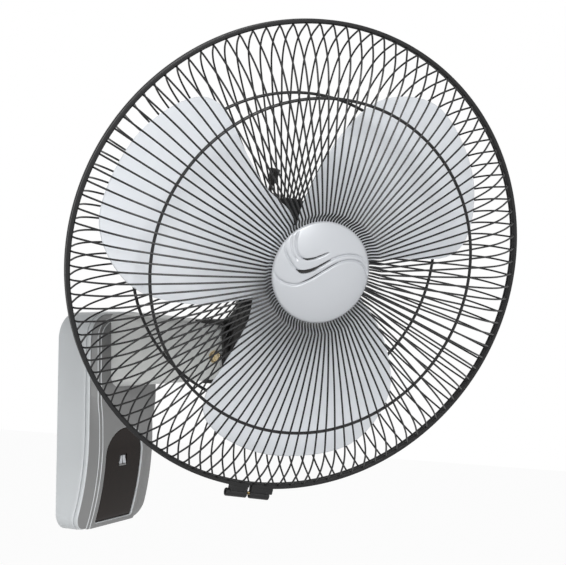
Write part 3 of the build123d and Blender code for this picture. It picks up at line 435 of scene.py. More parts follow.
for side, web, barrelEnd in clip["lugs"]:
    start = side * clip["start"]
    for inner, outer, half, shorter, soft in clip["webs"]:
        softBox(bandMesh, (inner, start, -half), (outer, side * (web - shorter), half), soft, clipTurn)
    barrel = [(0, 6.5), (3.0, 6.5), (3.0, 1.7), (3.9, 1.7), (4.5, 2.4), (4.5, barrelEnd - 0.8), (3.9, barrelEnd),
              (3.0, barrelEnd), (3.0, 17.5), (0, 17.5)]
    lathe(bandMesh, barrel, clip["barrelSteps"], clipTurn @ shifted(clip["barrelAt"], 0, 0) @ turned(-90 * side, "X"))
    for along in (clip["ribFirst"], barrelEnd - clip["ribLast"]):
        softBox(bandMesh, (255.4, side * (along - clip["ribHalf"]), -4.6),
                (263.0, side * (along + clip["ribHalf"]), 4.6), 0.5, clipTurn)
finishPiece("rimBand", bandMesh, headFrame, "head", "black_wire", "guard_band")

bandScrew = {"at": 260.6, "turns": 22, "pitch": 0.76, "crest": 1.9, "root": 1.45, "start": -8.4, "steps": 32,
             "head": [(1.9, 8.6), (2.7, 8.8), (2.9, 9.6), (2.9, 11.2), (2.3, 11.9), (0, 12.0)]}
screwProfile = [(0, -9.0), (bandScrew["crest"], bandScrew["start"] - 0.2)]
for turn in range(bandScrew["turns"]):
    crestAt = bandScrew["start"] + bandScrew["pitch"] * turn
    screwProfile += [(bandScrew["crest"], crestAt), (bandScrew["root"], crestAt + bandScrew["pitch"] / 2)]
screwMesh = bmesh.new()
lathe(screwMesh, screwProfile + bandScrew["head"], bandScrew["steps"])
screwFrame = headFrame @ clipTurn @ shifted(*mm(bandScrew["at"], 0, 0)) @ lying
finishPiece("bandScrewThread", screwMesh, screwFrame, "head", "brass", "band_screw", sharp=50)
print("band made")

# badge: a turned dome with moulded waves, some with a sunk slot whose floor is painted black as shade; a slot is its
# start, stop and half width
badge = {
    "radius": 53.6, "rim": 53.6, "crown": 9.0, "crownPower": 2.2, "lipDrop": 1.6, "lipFrom": 0.955, "middle": 0.004,
    "rings": 104, "steps": 420, "back": [(0, 50.8), (44, 50.8), (52.4, 50.8), (53.6, 51.4)], "slotDepth": 2.4,
    "waveReach": 6, "fade": 0.12, "slotPoint": 5, "slotTail": (1.3, 0.25),
}
waves = [
    {"depth": 2.2, "wide": 1.05, "slot": (0.26, 0.6, 0.6),
     "line": [(-53, -6), (-46, -13.5), (-37, -16.6), (-26.5, -16), (-17, -10), (-6, -0.6), (6, 10), (14.5, 15.8),
              (24, 19), (35, 19.4), (43, 16), (49, 9.5), (53, 3)]},
    {"depth": 2.1, "wide": 1.05, "slot": (0.29, 0.64, 1.9),
     "line": [(-47, 24), (-45.5, 17), (-41, 9.6), (-34, 2.2), (-27, -1.6), (-19.5, -0.6), (-9.5, 5.4), (-1.5, 12),
              (6.5, 18), (15.5, 22.6), (26.5, 25), (37, 24), (51, 17)]},
    {"depth": 1.9, "wide": 0.95, "slot": (0.5, 0.99, 1.0),
     "line": [(-35, 39), (-36.8, 30.5), (-35.4, 22), (-30.5, 13.8), (-23, 11.4), (-14, 14.4), (-7, 18.6), (0, 23.2)]},
    {"depth": 1.4, "wide": 0.8, "slot": None,
     "line": [(-41.5, 33), (-40.8, 26), (-39.4, 20), (-35.4, 12.6), (-30, 8)]},
]
for wave in waves:
    wave["path"] = smoothPath(wave["line"], 4)


def nearestOnLine(flat, path):
    best, share = 1e9, 0
    for index in range(len(path) - 1):
        start, run = path[index], path[index + 1] - path[index]
        t = max(0, min(1, (flat - start).dot(run) / run.length_squared))
        gap = (flat - start - t * run).length
        if gap < best:
            best, share = gap, (index + t) / (len(path) - 1)
    return best, share


def waveAt(flat):
    sink, inSlot = 0, False
    for wave in waves:
        gap, share = nearestOnLine(flat, wave["path"])
        if gap < badge["waveReach"]:
            fade = min(1, share / badge["fade"], (1 - share) / badge["fade"])   # at both ends of a wave
            sink = max(sink, wave["depth"] * fade * exp(-(gap / wave["wide"]) ** 2))
        if wave["slot"]:
            start, stop, half = wave["slot"]
            along = (share - start) / (stop - start)
            tail = badge["slotTail"][0] * (1 - along) + badge["slotTail"][1]
            if 0 < along < 1 and gap < half * min(1, badge["slotPoint"] * along, tail):
                sink, inSlot = max(sink, badge["slotDepth"]), True
    return sink, inSlot


domeProfile = []
for ringIndex in range(badge["rings"], -1, -1):
    share = ringIndex / badge["rings"]
    lip = max(0, (share - badge["lipFrom"]) / (1 - badge["lipFrom"]))
    height = badge["rim"] + badge["crown"] * (1 - share ** badge["crownPower"]) - badge["lipDrop"] * lip ** 2
    domeProfile.append((badge["radius"] * max(share, badge["middle"]), height))
badgeMesh = bmesh.new()
loft(badgeMesh, [[(radius * cos(turn), radius * sin(turn), height) for turn in turnsOf(badge["steps"])]
                 for radius, height in badge["back"] + domeProfile + [(0, domeProfile[-1][1])]])
slotShadeVerts = set()
for vert in badgeMesh.verts:
    if vert.co.z > badge["rim"] - badge["lipDrop"] - 0.1:
        sink, inSlot = waveAt(vert.co.xy)
        vert.co.z -= sink
        if inSlot:
            slotShadeVerts.add(vert)
# faces in a slot take the black: painted shade for the dark inside the slot's opening
for face in badgeMesh.faces:
    face.material_index = int(sum(vert in slotShadeVerts for vert in face.verts) >= 3)
finishPiece("badgeDome", badgeMesh, headFrame, "head", "badge_silver", "badge", sharp=60,
            paints=["badge_silver", "dark_plastic"])
print("badge made")

# blades and hub; edge points are direction in degrees and radius, from the leading root round the tip
blade = {
    "count": 3, "lead": 12.0, "low": -28.5, "rise": 0.31, "tipRise": 0.12, "tipRiseFrom": 40, "tipRiseOver": 90,
    "half": 1.1, "edgeRound": 1.6, "rootStart": -34, "rootTurn": 142, "rootRadius": 31, "cells": 26, "crowding": 1.6,
    "edge": [(-34, 31), (-29, 42), (-20, 54), (-11, 67), (-4, 88), (-2, 130), (-2.1, 160), (-1.6, 178), (0, 191),
             (2.8, 201.5), (7, 208.5), (13, 214.5), (23, 221), (34, 223.4), (45, 224), (51, 220), (57, 210), (62, 199),
             (66, 188), (70, 173), (74, 152), (77.5, 134), (83.5, 103), (89, 78), (97, 57), (104, 42), (108, 31)],
    "hub": [(4.3, 3.8), (33, 3.8), (33, -38), (30, -38), (30, 0.5), (4.3, 0.5)], "hubSoft": 2.5, "hubSteps": 96,
}


bladeMesh = bmesh.new()
lathe(bladeMesh, roundedProfile(blade["hub"], blade["hubSoft"]), blade["hubSteps"], closed=True)
edgePath = smoothPath(blade["edge"], 6)
bladeRows = []
for step, edgePoint in enumerate(edgePath):
    root = polar(blade["rootStart"] + blade["rootTurn"] * step / (len(edgePath) - 1), blade["rootRadius"])
    edge = polar(*edgePoint)
    upper, lower = [], []
    for cell in range(blade["cells"] + 1):
        t = 1 - (1 - cell / blade["cells"]) ** blade["crowding"]
        flat = root.lerp(edge, t)
        reach = (1 - t) * (edge - root).length
        thick = blade["half"] * sqrt(max(0, 1 - max(0, 1 - reach / blade["edgeRound"]) ** 2))
        tipShare = smoothStep((flat.length - blade["tipRiseFrom"]) / blade["tipRiseOver"])
        pitch = blade["rise"] + blade["tipRise"] * tipShare
        height = blade["low"] + pitch * degrees(atan2(flat.y, flat.x))
        upper.append((flat.x, flat.y, height + thick))
        lower.append((flat.x, flat.y, height - thick))
    bladeRows.append(upper + lower[::-1])
repeat(bladeMesh, loft(bladeMesh, bladeRows, place=turned(blade["lead"])), blade["count"])
finishPiece("bladeSet", bladeMesh, headFrame, "rotor", "blade_silver", "blade")
print("blades made")

# housing: its outline narrows upwards, and below bendStart its front bends back towards the wall
housing = {
    "topHalf": 61.0, "baseHalf": 68.0, "half": 130.0, "topCorner": 32.0, "baseCorner": 20.0, "bendStart": -13.0,
    "bend": 334.0, "armRise": 6.2, "armRiseFrom": -35, "armRiseOver": 50, "shellPoints": 240, "rays": 720,
    "rayCentre": (0, -50),
    "foot": [(2.4, 0.2), (0.5, 0.0), (0, 0.6), (0, 12)],   # inset and depth
    "wall": [(0, 38), (0, 41.0), (0.3, 41.7), (0.9, 42.0), (1.7, 41.9), (2.1, 41.4), (2.2, 39.0)],
}
cover = {
    "rim": [(2.5, 39.5), (2.4, 41.8), (1.6, 42.3), (0.9, 42.7), (0.6, 43.4), (0.5, 44.4), (0.5, 46.3), (0.8, 47.3),
            (1.5, 48.0), (2.7, 48.4)],
    # two ridges: half width below and beside the arm, height of the foot, level
    "ridges": [(46.9, 58.0, -129.45, 49.7), (46.6, 57.8, -129.42, 50.0), (46.5, 57.6, -129.4, 50.95),
               (46.1, 57.2, -129.36, 51.3), (42.9, 54.6, -129.3, 51.45), (42.6, 54.3, -129.27, 51.75),
               (42.5, 54.1, -129.24, 52.75), (42.1, 53.7, -129.2, 53.1)],
    "face": (41.4, 53.0, -128.9), "level": 53.2, "faceRows": 17, "headAbove": 66, "headCorner": 24, "footCorner": 1.2,
    "recess": [(0.8, 53.1), (0.5, 52.7), (0.4, 52.0), (0.3, 49.6), (-2, 49.5)],   # grown by, level
}
panel = {
    "topHalf": 35.9, "baseHalf": 35.5, "top": -9.8, "base": -122.6, "arch": 33.0, "corner": 2.0, "edge": 1.1,
    "rim": [(-0.1, 49.7), (0.1, 50.4), (0.05, 51.2), (-0.3, 51.4)], "level": 51.4, "rows": 12,
    "holeLevels": (51.2, 50.0),
}
window = {
    "middle": -50, "halfHole": (8, 7.2), "holeCorner": 1.4, "halfPlate": (7.9, 7.1), "plateCorner": 1.3,
    "plate": (49.5, 50.3), "icon": (49.8, 51.5), "soft": 0.3,
    "icons": [[(-1.6, -54.0), (-1.0, -44.4), (-2.8, -44.4), (-6.3, -54.0)],
              [(6.3, -54.0), (4.2, -44.4), (0.6, -44.4), (0.9, -54.0)],
              [(6.6, -56.6), (6.6, -54.7), (-6.6, -54.7), (-6.6, -56.6)]],
    "darkBelow": 50.6, "greyBelow": -54.6,
}
receiver = {"low": (-5, -53.5, 12.1), "high": (5, -46.5, 46.6), "soft": 0.6}


def cornerArc(corner, before, after, radius, steps):
    toBefore, toAfter = (before - corner).normalized(), (after - corner).normalized()
    halfAngle = toBefore.angle(toAfter) / 2
    away = radius / sin(halfAngle)
    centre = corner + (toBefore + toAfter).normalized() * away
    start = corner + toBefore * (away * cos(halfAngle)) - centre
    stop = corner + toAfter * (away * cos(halfAngle)) - centre
    return [centre + start.lerp(stop, step / steps).normalized() * radius for step in range(steps + 1)]


def outlineOf(corners, count, inset=0, steps=16):   # evenly spaced points round corners of x, y and radius
    loop = []
    for index, (x, y, radius) in enumerate(corners):
        before = Vector(corners[index - 1][:2])
        after = Vector(corners[(index + 1) % len(corners)][:2])
        loop += cornerArc(Vector((x, y)), before, after, radius, steps)
    loop.append(loop[0])
    lengths = [0]
    for start, stop in zip(loop, loop[1:]):
        lengths.append(lengths[-1] + (stop - start).length)
    points = []
    index = 0
    for step in range(count):
        target = lengths[-1] * step / count
        while lengths[index + 1] < target:
            index += 1
        t = (target - lengths[index]) / max(1e-9, lengths[index + 1] - lengths[index])
        points.append(loop[index].lerp(loop[index + 1], t))
    inner = []
    for step in range(count):
        along = (points[(step + 1) % count] - points[step - 1]).normalized()
        inner.append(points[step] + Vector((-along.y, along.x)) * inset)
    return inner


def mirroredOutline(base, baseHalf, baseCorner, top, topHalf, topCorner, count, inset=0):
    corners = [(baseHalf, base, baseCorner), (topHalf, top, topCorner)]
    return outlineOf(corners + [(-x, y, radius) for x, y, radius in reversed(corners)], count, inset)


def roundedSlab(mesh, corners, low, high, soft, place=Matrix(), count=120, steps=3):
    turns = [pi / 2 * step / steps for step in range(steps + 1)]
    stations = [(soft * (1 - sin(turn)), low + soft * (1 - cos(turn))) for turn in turns]
    stations += [(inset, low + high - level) for inset, level in reversed(stations)]
    loft(mesh, [[(point.x, point.y, level) for point in outlineOf(corners, count, inset)]
                for inset, level in stations], True, place)


def housingOutline(inset, count):
    return mirroredOutline(-housing["half"], housing["baseHalf"], housing["baseCorner"],
                           housing["half"], housing["topHalf"], housing["topCorner"], count, inset)


def panelOutline(grow):
    return mirroredOutline(panel["base"] - grow, panel["baseHalf"] + grow, panel["corner"] + grow,
                           panel["top"] + grow, panel["topHalf"] + grow, panel["arch"] + grow, 480)


def flatDepth(depth, height):
    return depth


def bentDepth(depth, height):
    drop = max(0, housing["bendStart"] - height)
    return depth - (housing["bend"] - sqrt(housing["bend"] ** 2 - drop ** 2))


def armShare(height):
    return smoothStep((height - housing["armRiseFrom"]) / housing["armRiseOver"])


def faceDepth(depth, height):
    return bentDepth(depth + housing["armRise"] * armShare(height), height)


def rowAt(points, depth, depthAt=faceDepth):
    return [(point.x, point.y, depthAt(depth, point.y)) for point in points]


def byRays(loop):   # the loop's points again, one on each ray from the same centre
    centre = Vector(housing["rayCentre"])
    turns = sorted((atan2(*(point - centre).yx) % (2 * pi), (point - centre).length) for point in loop)
    turns = [(turns[-1][0] - 2 * pi, turns[-1][1])] + turns + [(turns[0][0] + 2 * pi, turns[0][1])]
    points = []
    index = 0
    for turn in turnsOf(housing["rays"]):
        while turns[index + 1][0] < turn:
            index += 1
        (startTurn, startReach), (stopTurn, stopReach) = turns[index], turns[index + 1]
        reach = startReach + (stopReach - startReach) * (turn - startTurn) / max(1e-9, stopTurn - startTurn)
        points.append(centre + reach * Vector((cos(turn), sin(turn))))
    return points


def blendRows(outer, inner, level, shares):
    return [rowAt([start.lerp(stop, share) for start, stop in zip(outer, inner)], level) for share in shares]


def ridgeLoop(lowHalf, highHalf, foot):   # its half width changes beside the arm's root
    head = cover["headAbove"] + highHalf
    low, high = [byRays(mirroredOutline(foot, half, cover["footCorner"], head, half, cover["headCorner"], 720))
                 for half in (lowHalf, highHalf)]
    return [start.lerp(stop, armShare(start.y)) for start, stop in zip(low, high)]


shellMesh = bmesh.new()
shellRows = [rowAt(housingOutline(inset, housing["shellPoints"]), depth, depthAt)
             for rows, depthAt in [(housing["foot"], flatDepth), (housing["wall"], bentDepth)] for inset, depth in rows]
loft(shellMesh, shellRows + shellRows[:1])
finishPiece("housingShell", shellMesh, wallFrame, "base", "silver_plastic", "housing_shell")

coverMesh = bmesh.new()
coverRows = [rowAt(byRays(housingOutline(inset, housing["rays"])), depth, bentDepth) for inset, depth in cover["rim"]]
ridgeStart = len(coverRows)
coverRows += [rowAt(ridgeLoop(*sizes), level) for *sizes, level in cover["ridges"]]
coverRows += blendRows(ridgeLoop(*cover["face"]), byRays(panelOutline(panel["edge"])), cover["level"],
                       [step / (cover["faceRows"] - 1) for step in range(cover["faceRows"])])
recessStart = len(coverRows)
coverRows += [rowAt(byRays(panelOutline(grow)), level) for grow, level in cover["recess"]]
coverRings = loft(coverMesh, coverRows + coverRows[:1])
# the rim, both ridges' steps and the wall of the recess take the lighter silver, as painted highlights along these
# edges
highlightRows = {*range(ridgeStart - 2), ridgeStart + 1, ridgeStart + 5, *range(recessStart - 1, recessStart + 4)}
rowOf = {vert: row for row, ring in enumerate(coverRings) for vert in ring}
for face in coverMesh.faces:
    face.material_index = int(min(rowOf[vert] for vert in face.verts) in highlightRows)
# the cover's field takes the darker silver, which is partly painted shade
finishPiece("housingFront", coverMesh, wallFrame, "base", "silver_plastic", "front_cover", sharp=50,
            paints=["coverSilverAndShade", "silver_plastic"])



def windowCorners(halves, radius):
    return [(x * halves[0], window["middle"] + y * halves[1], radius) for x, y in [(1, -1), (1, 1), (-1, 1), (-1, -1)]]


panelMesh = bmesh.new()
panelRows = [rowAt(byRays(panelOutline(grow)), level) for grow, level in panel["rim"]]
windowHole = byRays(outlineOf(windowCorners(window["halfHole"], window["holeCorner"]), 200))
panelRows += blendRows(byRays(panelOutline(panel["rim"][-1][0])), windowHole, panel["level"],
                       [step / panel["rows"] for step in range(1, panel["rows"] + 1)])
panelRows += [rowAt(windowHole, level) for level in panel["holeLevels"]]
loft(panelMesh, panelRows + panelRows[:1])
finishPiece("panelGloss", panelMesh, wallFrame, "base", "dark_panel", "panel_insert", sharp=50)

windowMesh = bmesh.new()
sunk = bentDepth(0, window["middle"])
roundedSlab(windowMesh, windowCorners(window["halfPlate"], window["plateCorner"]), *window["plate"], 0.2,
            shifted(0, 0, sunk))
for corners in window["icons"]:
    roundedSlab(windowMesh, [(x, y, window["soft"]) for x, y in corners], *window["icon"], window["soft"],
                shifted(0, 0, sunk), count=60)
for face in windowMesh.faces:
    middle = face.calc_center_median()
    if middle.z < window["darkBelow"] + sunk:
        face.material_index = 1
    elif middle.y < window["greyBelow"]:
        face.material_index = 2
finishPiece("windowIcon", windowMesh, wallFrame, "base", "window", "indicator_window",
            paints=["window", "dark_plastic", "coverSilverAndShade"])
receiverMesh = bmesh.new()
softBox(receiverMesh, receiver["low"], receiver["high"], receiver["soft"])
finishPiece("receiverBlock", receiverMesh, wallFrame, "base", "dark_plastic", "remote_receiver")
print("housing made")

# arm: tapers from root to tip, with a slot and a slanting chin cut into the tip
arm = {
    "rootHalf": 36.3, "tipHalf": 23.6, "rootLow": 41.5, "tipLow": 55.0, "rootHigh": 129.0, "tipHigh": 119.0,
    "root": 59.4, "end": 206.9, "lowCorner": 13.0, "highCorner": 7.0, "slotHalf": 15.0, "slotFloor": 165.0,
    "soft": 3.0, "stations": [58.8, 62, 80, 100, 120, 140, 160, 180], "chinAt": (0, 68.5, 207.2), "chinTurn": 22,
}


def armRow(depth, inset):
    share = (depth - arm["root"]) / (arm["end"] - arm["root"])
    half = arm["rootHalf"] + share * (arm["tipHalf"] - arm["rootHalf"]) - inset
    low = arm["rootLow"] + share * (arm["tipLow"] - arm["rootLow"]) + inset
    high = arm["rootHigh"] + share * (arm["tipHigh"] - arm["rootHigh"]) - inset
    lowCorner, highCorner = arm["lowCorner"], arm["highCorner"]
    row = []
    for side, level, radius, first in [(1, low + lowCorner, lowCorner, -90), (1, high - highCorner, highCorner, 0),
                                       (-1, high - highCorner, highCorner, 90), (-1, low + lowCorner, lowCorner, 180)]:
        centre = Vector((side * (half - radius), level))
        row += [(*(centre + polar(first + 9 * step, radius)), depth) for step in range(11)]
    return row


def cutWith(mesh, cutters):
    objects = []
    for shape in [mesh] + cutters:
        data = bpy.data.meshes.new("uncut")
        bmesh.ops.recalc_face_normals(shape, faces=shape.faces)
        shape.to_mesh(data)
        shape.free()
        objects.append(bpy.data.objects.new("uncut", data))
        scene.collection.objects.link(objects[-1])
    whole, *tools = objects
    for tool in tools:
        cut = whole.modifiers.new("cut", "BOOLEAN")
        cut.operation = "DIFFERENCE"
        cut.solver = "EXACT"
        cut.object = tool
    cutMesh = bmesh.new()
    cutMesh.from_mesh(bpy.data.meshes.new_from_object(whole.evaluated_get(bpy.context.evaluated_depsgraph_get())))
    for item in objects:
        bpy.data.objects.remove(item)
    return cutMesh


armMesh = bmesh.new()
armRows = [armRow(depth, 0) for depth in arm["stations"]]
for turn in (0, 22, 45, 68, 90):
    inset = Vector((arm["soft"], arm["soft"])) - polar(turn, arm["soft"])
    armRows.append(armRow(arm["end"] - inset.y, inset.x))
loft(armMesh, armRows, capped=True)
slotCutter = bmesh.new()
softBox(slotCutter, (-arm["slotHalf"], 0, arm["slotFloor"]), (arm["slotHalf"], 200, 260), 0.4, segments=1)
chinCutter = bmesh.new()
softBox(chinCutter, (-60, -80, 0), (60, 0, 40), 0.4, shifted(*arm["chinAt"]) @ turned(arm["chinTurn"], "X"), 1)
# the arm takes the lighter silver, which is painted light
finishPiece("armForked", cutWith(armMesh, [slotCutter, chinCutter]), wallFrame, "base", "silver_plastic", "arm",
            sharp=30, paints=["armSilverLit"])

# lining of the fork: low corner, high corner and softness of each box on the right, the left is its mirror
liner = {
    "mirrored": [((12.3, 60.3, 165.3), (14.8, 123.4, 211.0), 0.6), ((12.3, 52.3, 165.3), (14.8, 62, 199.0), 0.6),
                 ((12.3, 66.5, 207.1), (23.3, 121.6, 211.2), 1.6), ((12.3, 118.4, 178.0), (22.6, 123.5, 209.0), 1.5),
                 ((9.0, 51.4, 176.0), (16.0, 56.0, 196.5), 0.6), ((6.2, 64.0, 165.3), (14.8, 123.4, 167.7), 0.6)],
    "floor": ((-14.8, 52.3, 165.3), (14.8, 64.0, 167.7), 0.6),
    "rib": ((8.0, 49.6, 176.5), (17.0, 56.5, 179.3), 0.8), "ribs": 5, "ribPitch": 4.2,
}
linerMesh = bmesh.new()
softBox(linerMesh, *liner["floor"])
for side in (-1, 1):
    boxes = [(box, 0) for box in liner["mirrored"]]
    boxes += [(liner["rib"], liner["ribPitch"] * rib) for rib in range(liner["ribs"])]
    for ((lowX, *low), (highX, *high), soft), forward in boxes:
        softBox(linerMesh, (side * lowX, *low), (side * highX, *high), soft, shifted(0, 0, forward))
finishPiece("forkLining", linerMesh, wallFrame, "base", "dark_plastic", "fork_liner")

# tilt pivot: cup washer and slotted screw on the left, nut on the right; heights count from the arm's side
pivot = {
    "seat": 24.95, "steps": 64, "cupSoft": 0.25,
    "cup": [(4.2, 0), (7.1, 0), (7.5, 2.6), (7.1, 3.0), (6.2, 3.0), (5.6, 1.0), (4.2, 0.8)],
    "screw": [(0, 2.2), (0.2, 2.2), (3.4, 2.15), (4.3, 2.0), (4.8, 1.7), (5.0, 1.2), (4.9, 1.0), (4.0, 0.9),
              (4.0, -52.0), (3.4, -54.5), (0, -54.5)],
    "slotLow": (-9, -0.8, 1.2), "slotHigh": (9, 0.8, 9), "slotTurn": 120, "nutRadius": 7.35, "nutCorner": 0.5,
    "nut": (-31.3, -25.1), "nutSoft": 0.8,
}
pivotFrame = neckFrame @ turned(-90, "Y")
seat = shifted(0, 0, pivot["seat"])
cupMesh = bmesh.new()
lathe(cupMesh, roundedProfile(pivot["cup"], pivot["cupSoft"], 3), pivot["steps"], seat, closed=True)
finishPiece("pivotCup", cupMesh, pivotFrame, "base", "brass", "cup_washer")
screwHead = bmesh.new()
lathe(screwHead, pivot["screw"], pivot["steps"], seat)
bmesh.ops.remove_doubles(screwHead, verts=screwHead.verts, dist=0.001)
screwSlot = bmesh.new()
softBox(screwSlot, pivot["slotLow"], pivot["slotHigh"], 0.05, seat @ turned(pivot["slotTurn"]), 1)
finishPiece("pivotScrew", cutWith(screwHead, [screwSlot]), pivotFrame, "base", "brass", "tilt_screw")
nutMesh = bmesh.new()
nutCorners = [(*polar(60 * side, pivot["nutRadius"]), pivot["nutCorner"]) for side in range(6)]
roundedSlab(nutMesh, nutCorners, *pivot["nut"], pivot["nutSoft"], count=144)
finishPiece("pivotNut", nutMesh, pivotFrame, "base", "zinc", "tilt_nut")
print("arm made")

# neck casting: a rounded slab in the fork, with a turned stem under the motor
neck = {
    "half": 11.6, "soft": 2.2, "points": 260, "stemAt": (0, 0, 15), "stemSoft": 2.0, "stemSteps": 96,
    "corners": [(5.2, -16.8, 3.5), (10.4, -12.4, 2), (18.0, 29, 14), (27.6, 61, 3), (2.2, 61, 3), (-9.8, 37.8, 8),
                (-25.8, 28.8, 6), (-25.8, -16.8, 6)],
    "stem": [(5.8, 43.8), (13.0, 43.8), (14.2, 52), (18.8, 62), (18.8, 67.9), (6.2, 67.9)],
    "padLow": (10.8, -9, -19), "padHigh": (11.55, 20, -8), "padSoft": 0.3,
}
neckMesh = bmesh.new()
roundedSlab(neckMesh, neck["corners"], -neck["half"], neck["half"], neck["soft"], turned(-90, "Y"), neck["points"], 4)
lathe(neckMesh, roundedProfile(neck["stem"], neck["stemSoft"], 5), neck["stemSteps"], shifted(*neck["stemAt"]) @ lying,
      closed=True)
for side in (-1, 1):
    (lowX, *low), (highX, *high) = neck["padLow"], neck["padHigh"]
    softBox(neckMesh, (side * lowX, *low), (side * highX, *high), neck["padSoft"])
finishPiece("neckBody", neckMesh, neckFrame, "neck", "dark_metal", "neck_casting")
print("neck made")

# motor: two drawn shells held by three lugs, the rear one with vents
motor = {
    "steps": 192, "frontSoft": 5.0, "lugs": (30, 150, 270), "lugSoft": 1.6,
    "front": [(4.1, -56.4), (13.9, -56.4), (13.9, -65.2), (44, -65.2), (53.9, -75), (53.9, -97.9), (50.6, -97.9),
              (50.6, -77), (43, -68.6), (4.1, -68.6)],
    "frontLug": ((46.5, -5, -102.5), (53.6, 5, -78)), "rearLug": ((46.5, -5, -140), (53.6, 5, -98.4)),
    "rear": [(53.9, -98.2), (53.9, -104), (53.9, -112), (53.9, -120), (53.9, -128), (53.9, -134), (53.5, -138),
             (52.0, -142), (49.0, -146), (45.0, -148.8), (41.0, -149.8), (36.0, -150), (26.0, -150), (16.0, -150),
             (9.4, -150)],
    "vents": 8, "ventPitch": 4, "sideVent": (-128, -104), "sideCells": (5, 19), "sideOpen": 2,
    "back": -149.9, "backVent": (16, 36), "backCells": (8, 16), "backOpen": 3, "wall": 1.8,
    "boss": [(6.1, -72.2), (11.9, -72.2), (11.9, -46), (6.1, -46)], "bossSoft": 1.4, "bossSteps": 72,
    "swivelAt": (0, 0, -116.7), "saddle": ((-15, -60, -138), (15, -50.5, -100), 3.5),
}


def addLugs(mesh, corners):
    for turn in motor["lugs"]:
        softBox(mesh, *corners, motor["lugSoft"], turned(turn))


frontShell = bmesh.new()
lathe(frontShell, roundedProfile(motor["front"], motor["frontSoft"], 6), motor["steps"], closed=True)
addLugs(frontShell, motor["frontLug"])
finishPiece("motorFront", frontShell, headFrame, "head", "dark_metal", "motor_front_cover")



def isVent(face):
    middle = face.calc_center_median()
    cell = int(atan2(middle.y, middle.x) % (2 * pi) / (2 * pi) * motor["steps"]) % (motor["steps"] // motor["vents"])
    slot = cell % motor["ventPitch"]
    if motor["sideVent"][0] < middle.z < motor["sideVent"][1]:
        return motor["sideCells"][0] <= cell < motor["sideCells"][1] and slot < motor["sideOpen"]
    onBack = middle.z < motor["back"] and motor["backVent"][0] < middle.xy.length < motor["backVent"][1]
    return onBack and motor["backCells"][0] <= cell < motor["backCells"][1] and slot < motor["backOpen"]


rearShell = bmesh.new()
lathe(rearShell, motor["rear"], motor["steps"])
bmesh.ops.delete(rearShell, geom=[face for face in rearShell.faces if isVent(face)], context="FACES")
bmesh.ops.recalc_face_normals(rearShell, faces=rearShell.faces)
bmesh.ops.solidify(rearShell, geom=rearShell.faces[:], thickness=motor["wall"])
lathe(rearShell, roundedProfile(motor["boss"], motor["bossSoft"], 4), motor["bossSteps"],
      shifted(*motor["swivelAt"]) @ lying, closed=True)
softBox(rearShell, *motor["saddle"])
addLugs(rearShell, motor["rearLug"])
finishPiece("motorRear", rearShell, headFrame, "head", "dark_metal", "motor_rear_cover")

# gearbox with its ribs, the collar of the knob, and a lid held by four screws
gearbox = {
    "left": -20, "right": 32, "low": -32, "high": 34, "rear": -204.1, "front": -150.2, "corner": 7, "soft": 1.6,
    "points": 220, "ribs": (-20, -6, 8, 22), "ribHalf": 1, "ribProud": 0.9, "ribSoft": 0.6, "ribEnds": (8, 6),
    "collar": [(2.7, -1.5), (7.4, -1.5), (5.6, 5.0), (2.7, 5.0)], "collarSoft": 0.7, "collarSteps": 48,
    "lid": (3.0, 0.2), "lidSoft": 1.0, "screwIn": 6, "screwSteps": 32,
    "screw": [(0, -2.4), (3.2, -2.4), (3.2, -3.9), (2.7, -4.4), (1.2, -4.5), (1.0, -3.6), (0, -3.6)],
}
knob = {
    "at": (13, 34, -186), "flutes": 12, "steps": 144, "depth": 0.45, "fluted": (27, 43),
    "profile": [(0, -9.5), (2.4, -9.5), (2.4, 25.6), (3.6, 26.1), (4.5, 26.8), (4.7, 28.2), (5.0, 30.5), (5.6, 35),
                (6.1, 39), (6.45, 42), (6.2, 43.4), (5.2, 44), (3.0, 44), (2.2, 43.3), (0, 43.2)],
}
leftSide, rightSide, rear = gearbox["left"], gearbox["right"], gearbox["rear"]
gearCorners = [(x, y, gearbox["corner"]) for x, y in [(rightSide, gearbox["low"]), (rightSide, gearbox["high"]),
                                                      (leftSide, gearbox["high"]), (leftSide, gearbox["low"])]]
gearboxMesh = bmesh.new()
roundedSlab(gearboxMesh, gearCorners, rear, gearbox["front"], gearbox["soft"], count=gearbox["points"])
lathe(gearboxMesh, roundedProfile(gearbox["collar"], gearbox["collarSoft"], 3), gearbox["collarSteps"],
      shifted(*knob["at"]) @ lying, closed=True)
for height in gearbox["ribs"]:
    low, high = height - gearbox["ribHalf"], height + gearbox["ribHalf"]
    for x, out in [(leftSide, -1), (rightSide, 1)]:
        softBox(gearboxMesh, (x + out * gearbox["ribProud"], low, rear + gearbox["ribEnds"][0]),
                (x - out, high, gearbox["front"] - gearbox["ribEnds"][1]), gearbox["ribSoft"])
finishPiece("gearboxBody", gearboxMesh, headFrame, "head", "dark_metal", "gearbox_case")

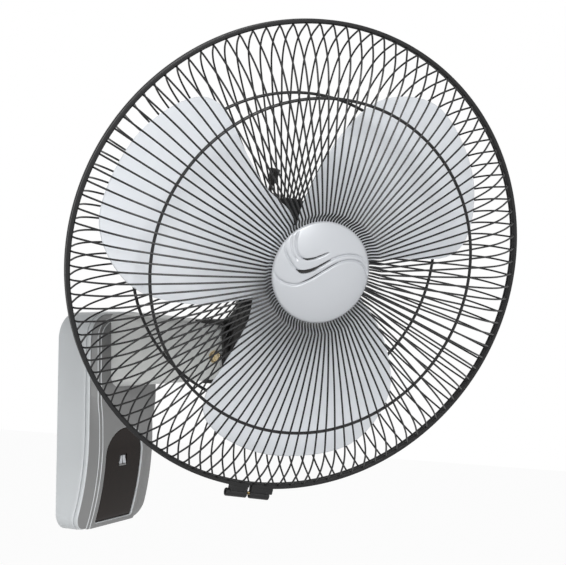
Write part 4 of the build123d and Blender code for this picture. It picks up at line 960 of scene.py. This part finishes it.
lidMesh = bmesh.new()
roundedSlab(lidMesh, gearCorners, rear - gearbox["lid"][0], rear - gearbox["lid"][1], gearbox["lidSoft"],
            count=gearbox["points"])
for x in (leftSide + gearbox["screwIn"], rightSide - gearbox["screwIn"]):
    for y in (gearbox["low"] + gearbox["screwIn"], gearbox["high"] - gearbox["screwIn"]):
        lathe(lidMesh, gearbox["screw"], gearbox["screwSteps"], shifted(x, y, rear))
finishPiece("gearboxCover", lidMesh, headFrame, "head", "dark_metal", "gearbox_lid")

knobMesh = bmesh.new()
lathe(knobMesh, knob["profile"], knob["steps"])
flute(knobMesh, knob["flutes"], knob["depth"], 1, lambda reach, height: knob["fluted"][0] < height < knob["fluted"][1])
knobFrame = headFrame @ shifted(*mm(*knob["at"])) @ lying
finishPiece("knobFluted", knobMesh, knobFrame, "knob", "dark_plastic", "clutch_knob")

# nuts with finger grips: one holds the rear guard, the other the blades
lockNut = {
    "steps": 240, "grips": 8, "depth": 1.1, "gripsOutside": 24,
    "profile": [(14.2, -61.2), (24.5, -61.2), (26.4, -60.4), (26.8, -59), (26.8, -57), (26.2, -55.8), (24.5, -55.3),
                (17, -55.3), (15, -55.6), (14.2, -56.5)],
}
lockMesh = bmesh.new()
lathe(lockMesh, lockNut["profile"], lockNut["steps"], closed=True)
flute(lockMesh, lockNut["grips"], lockNut["depth"], 2, lambda reach, height: reach > lockNut["gripsOutside"])
finishPiece("guardNut", lockMesh, headFrame, "head", "dark_plastic", "guard_lock_ring")

capNut = {
    "steps": 200, "grips": 10, "depth": 1.0, "gripsOutside": 17, "gripHeights": (4.8, 13.5),
    "profile": [(0, 14.8), (4.7, 14.8), (4.7, 4.3), (19.6, 4.3), (19.8, 5.0), (19.2, 9.5), (18.0, 13.0), (15.5, 15.2),
                (12.0, 16.0), (0, 16.0)],
}
capMesh = bmesh.new()
lathe(capMesh, capNut["profile"], capNut["steps"])
flute(capMesh, capNut["grips"], capNut["depth"], 2, lambda reach, height: reach > capNut["gripsOutside"]
      and capNut["gripHeights"][0] < height < capNut["gripHeights"][1])
finishPiece("bladeNut", capMesh, headFrame, "rotor", "dark_plastic", "blade_cap")
print("motor made")
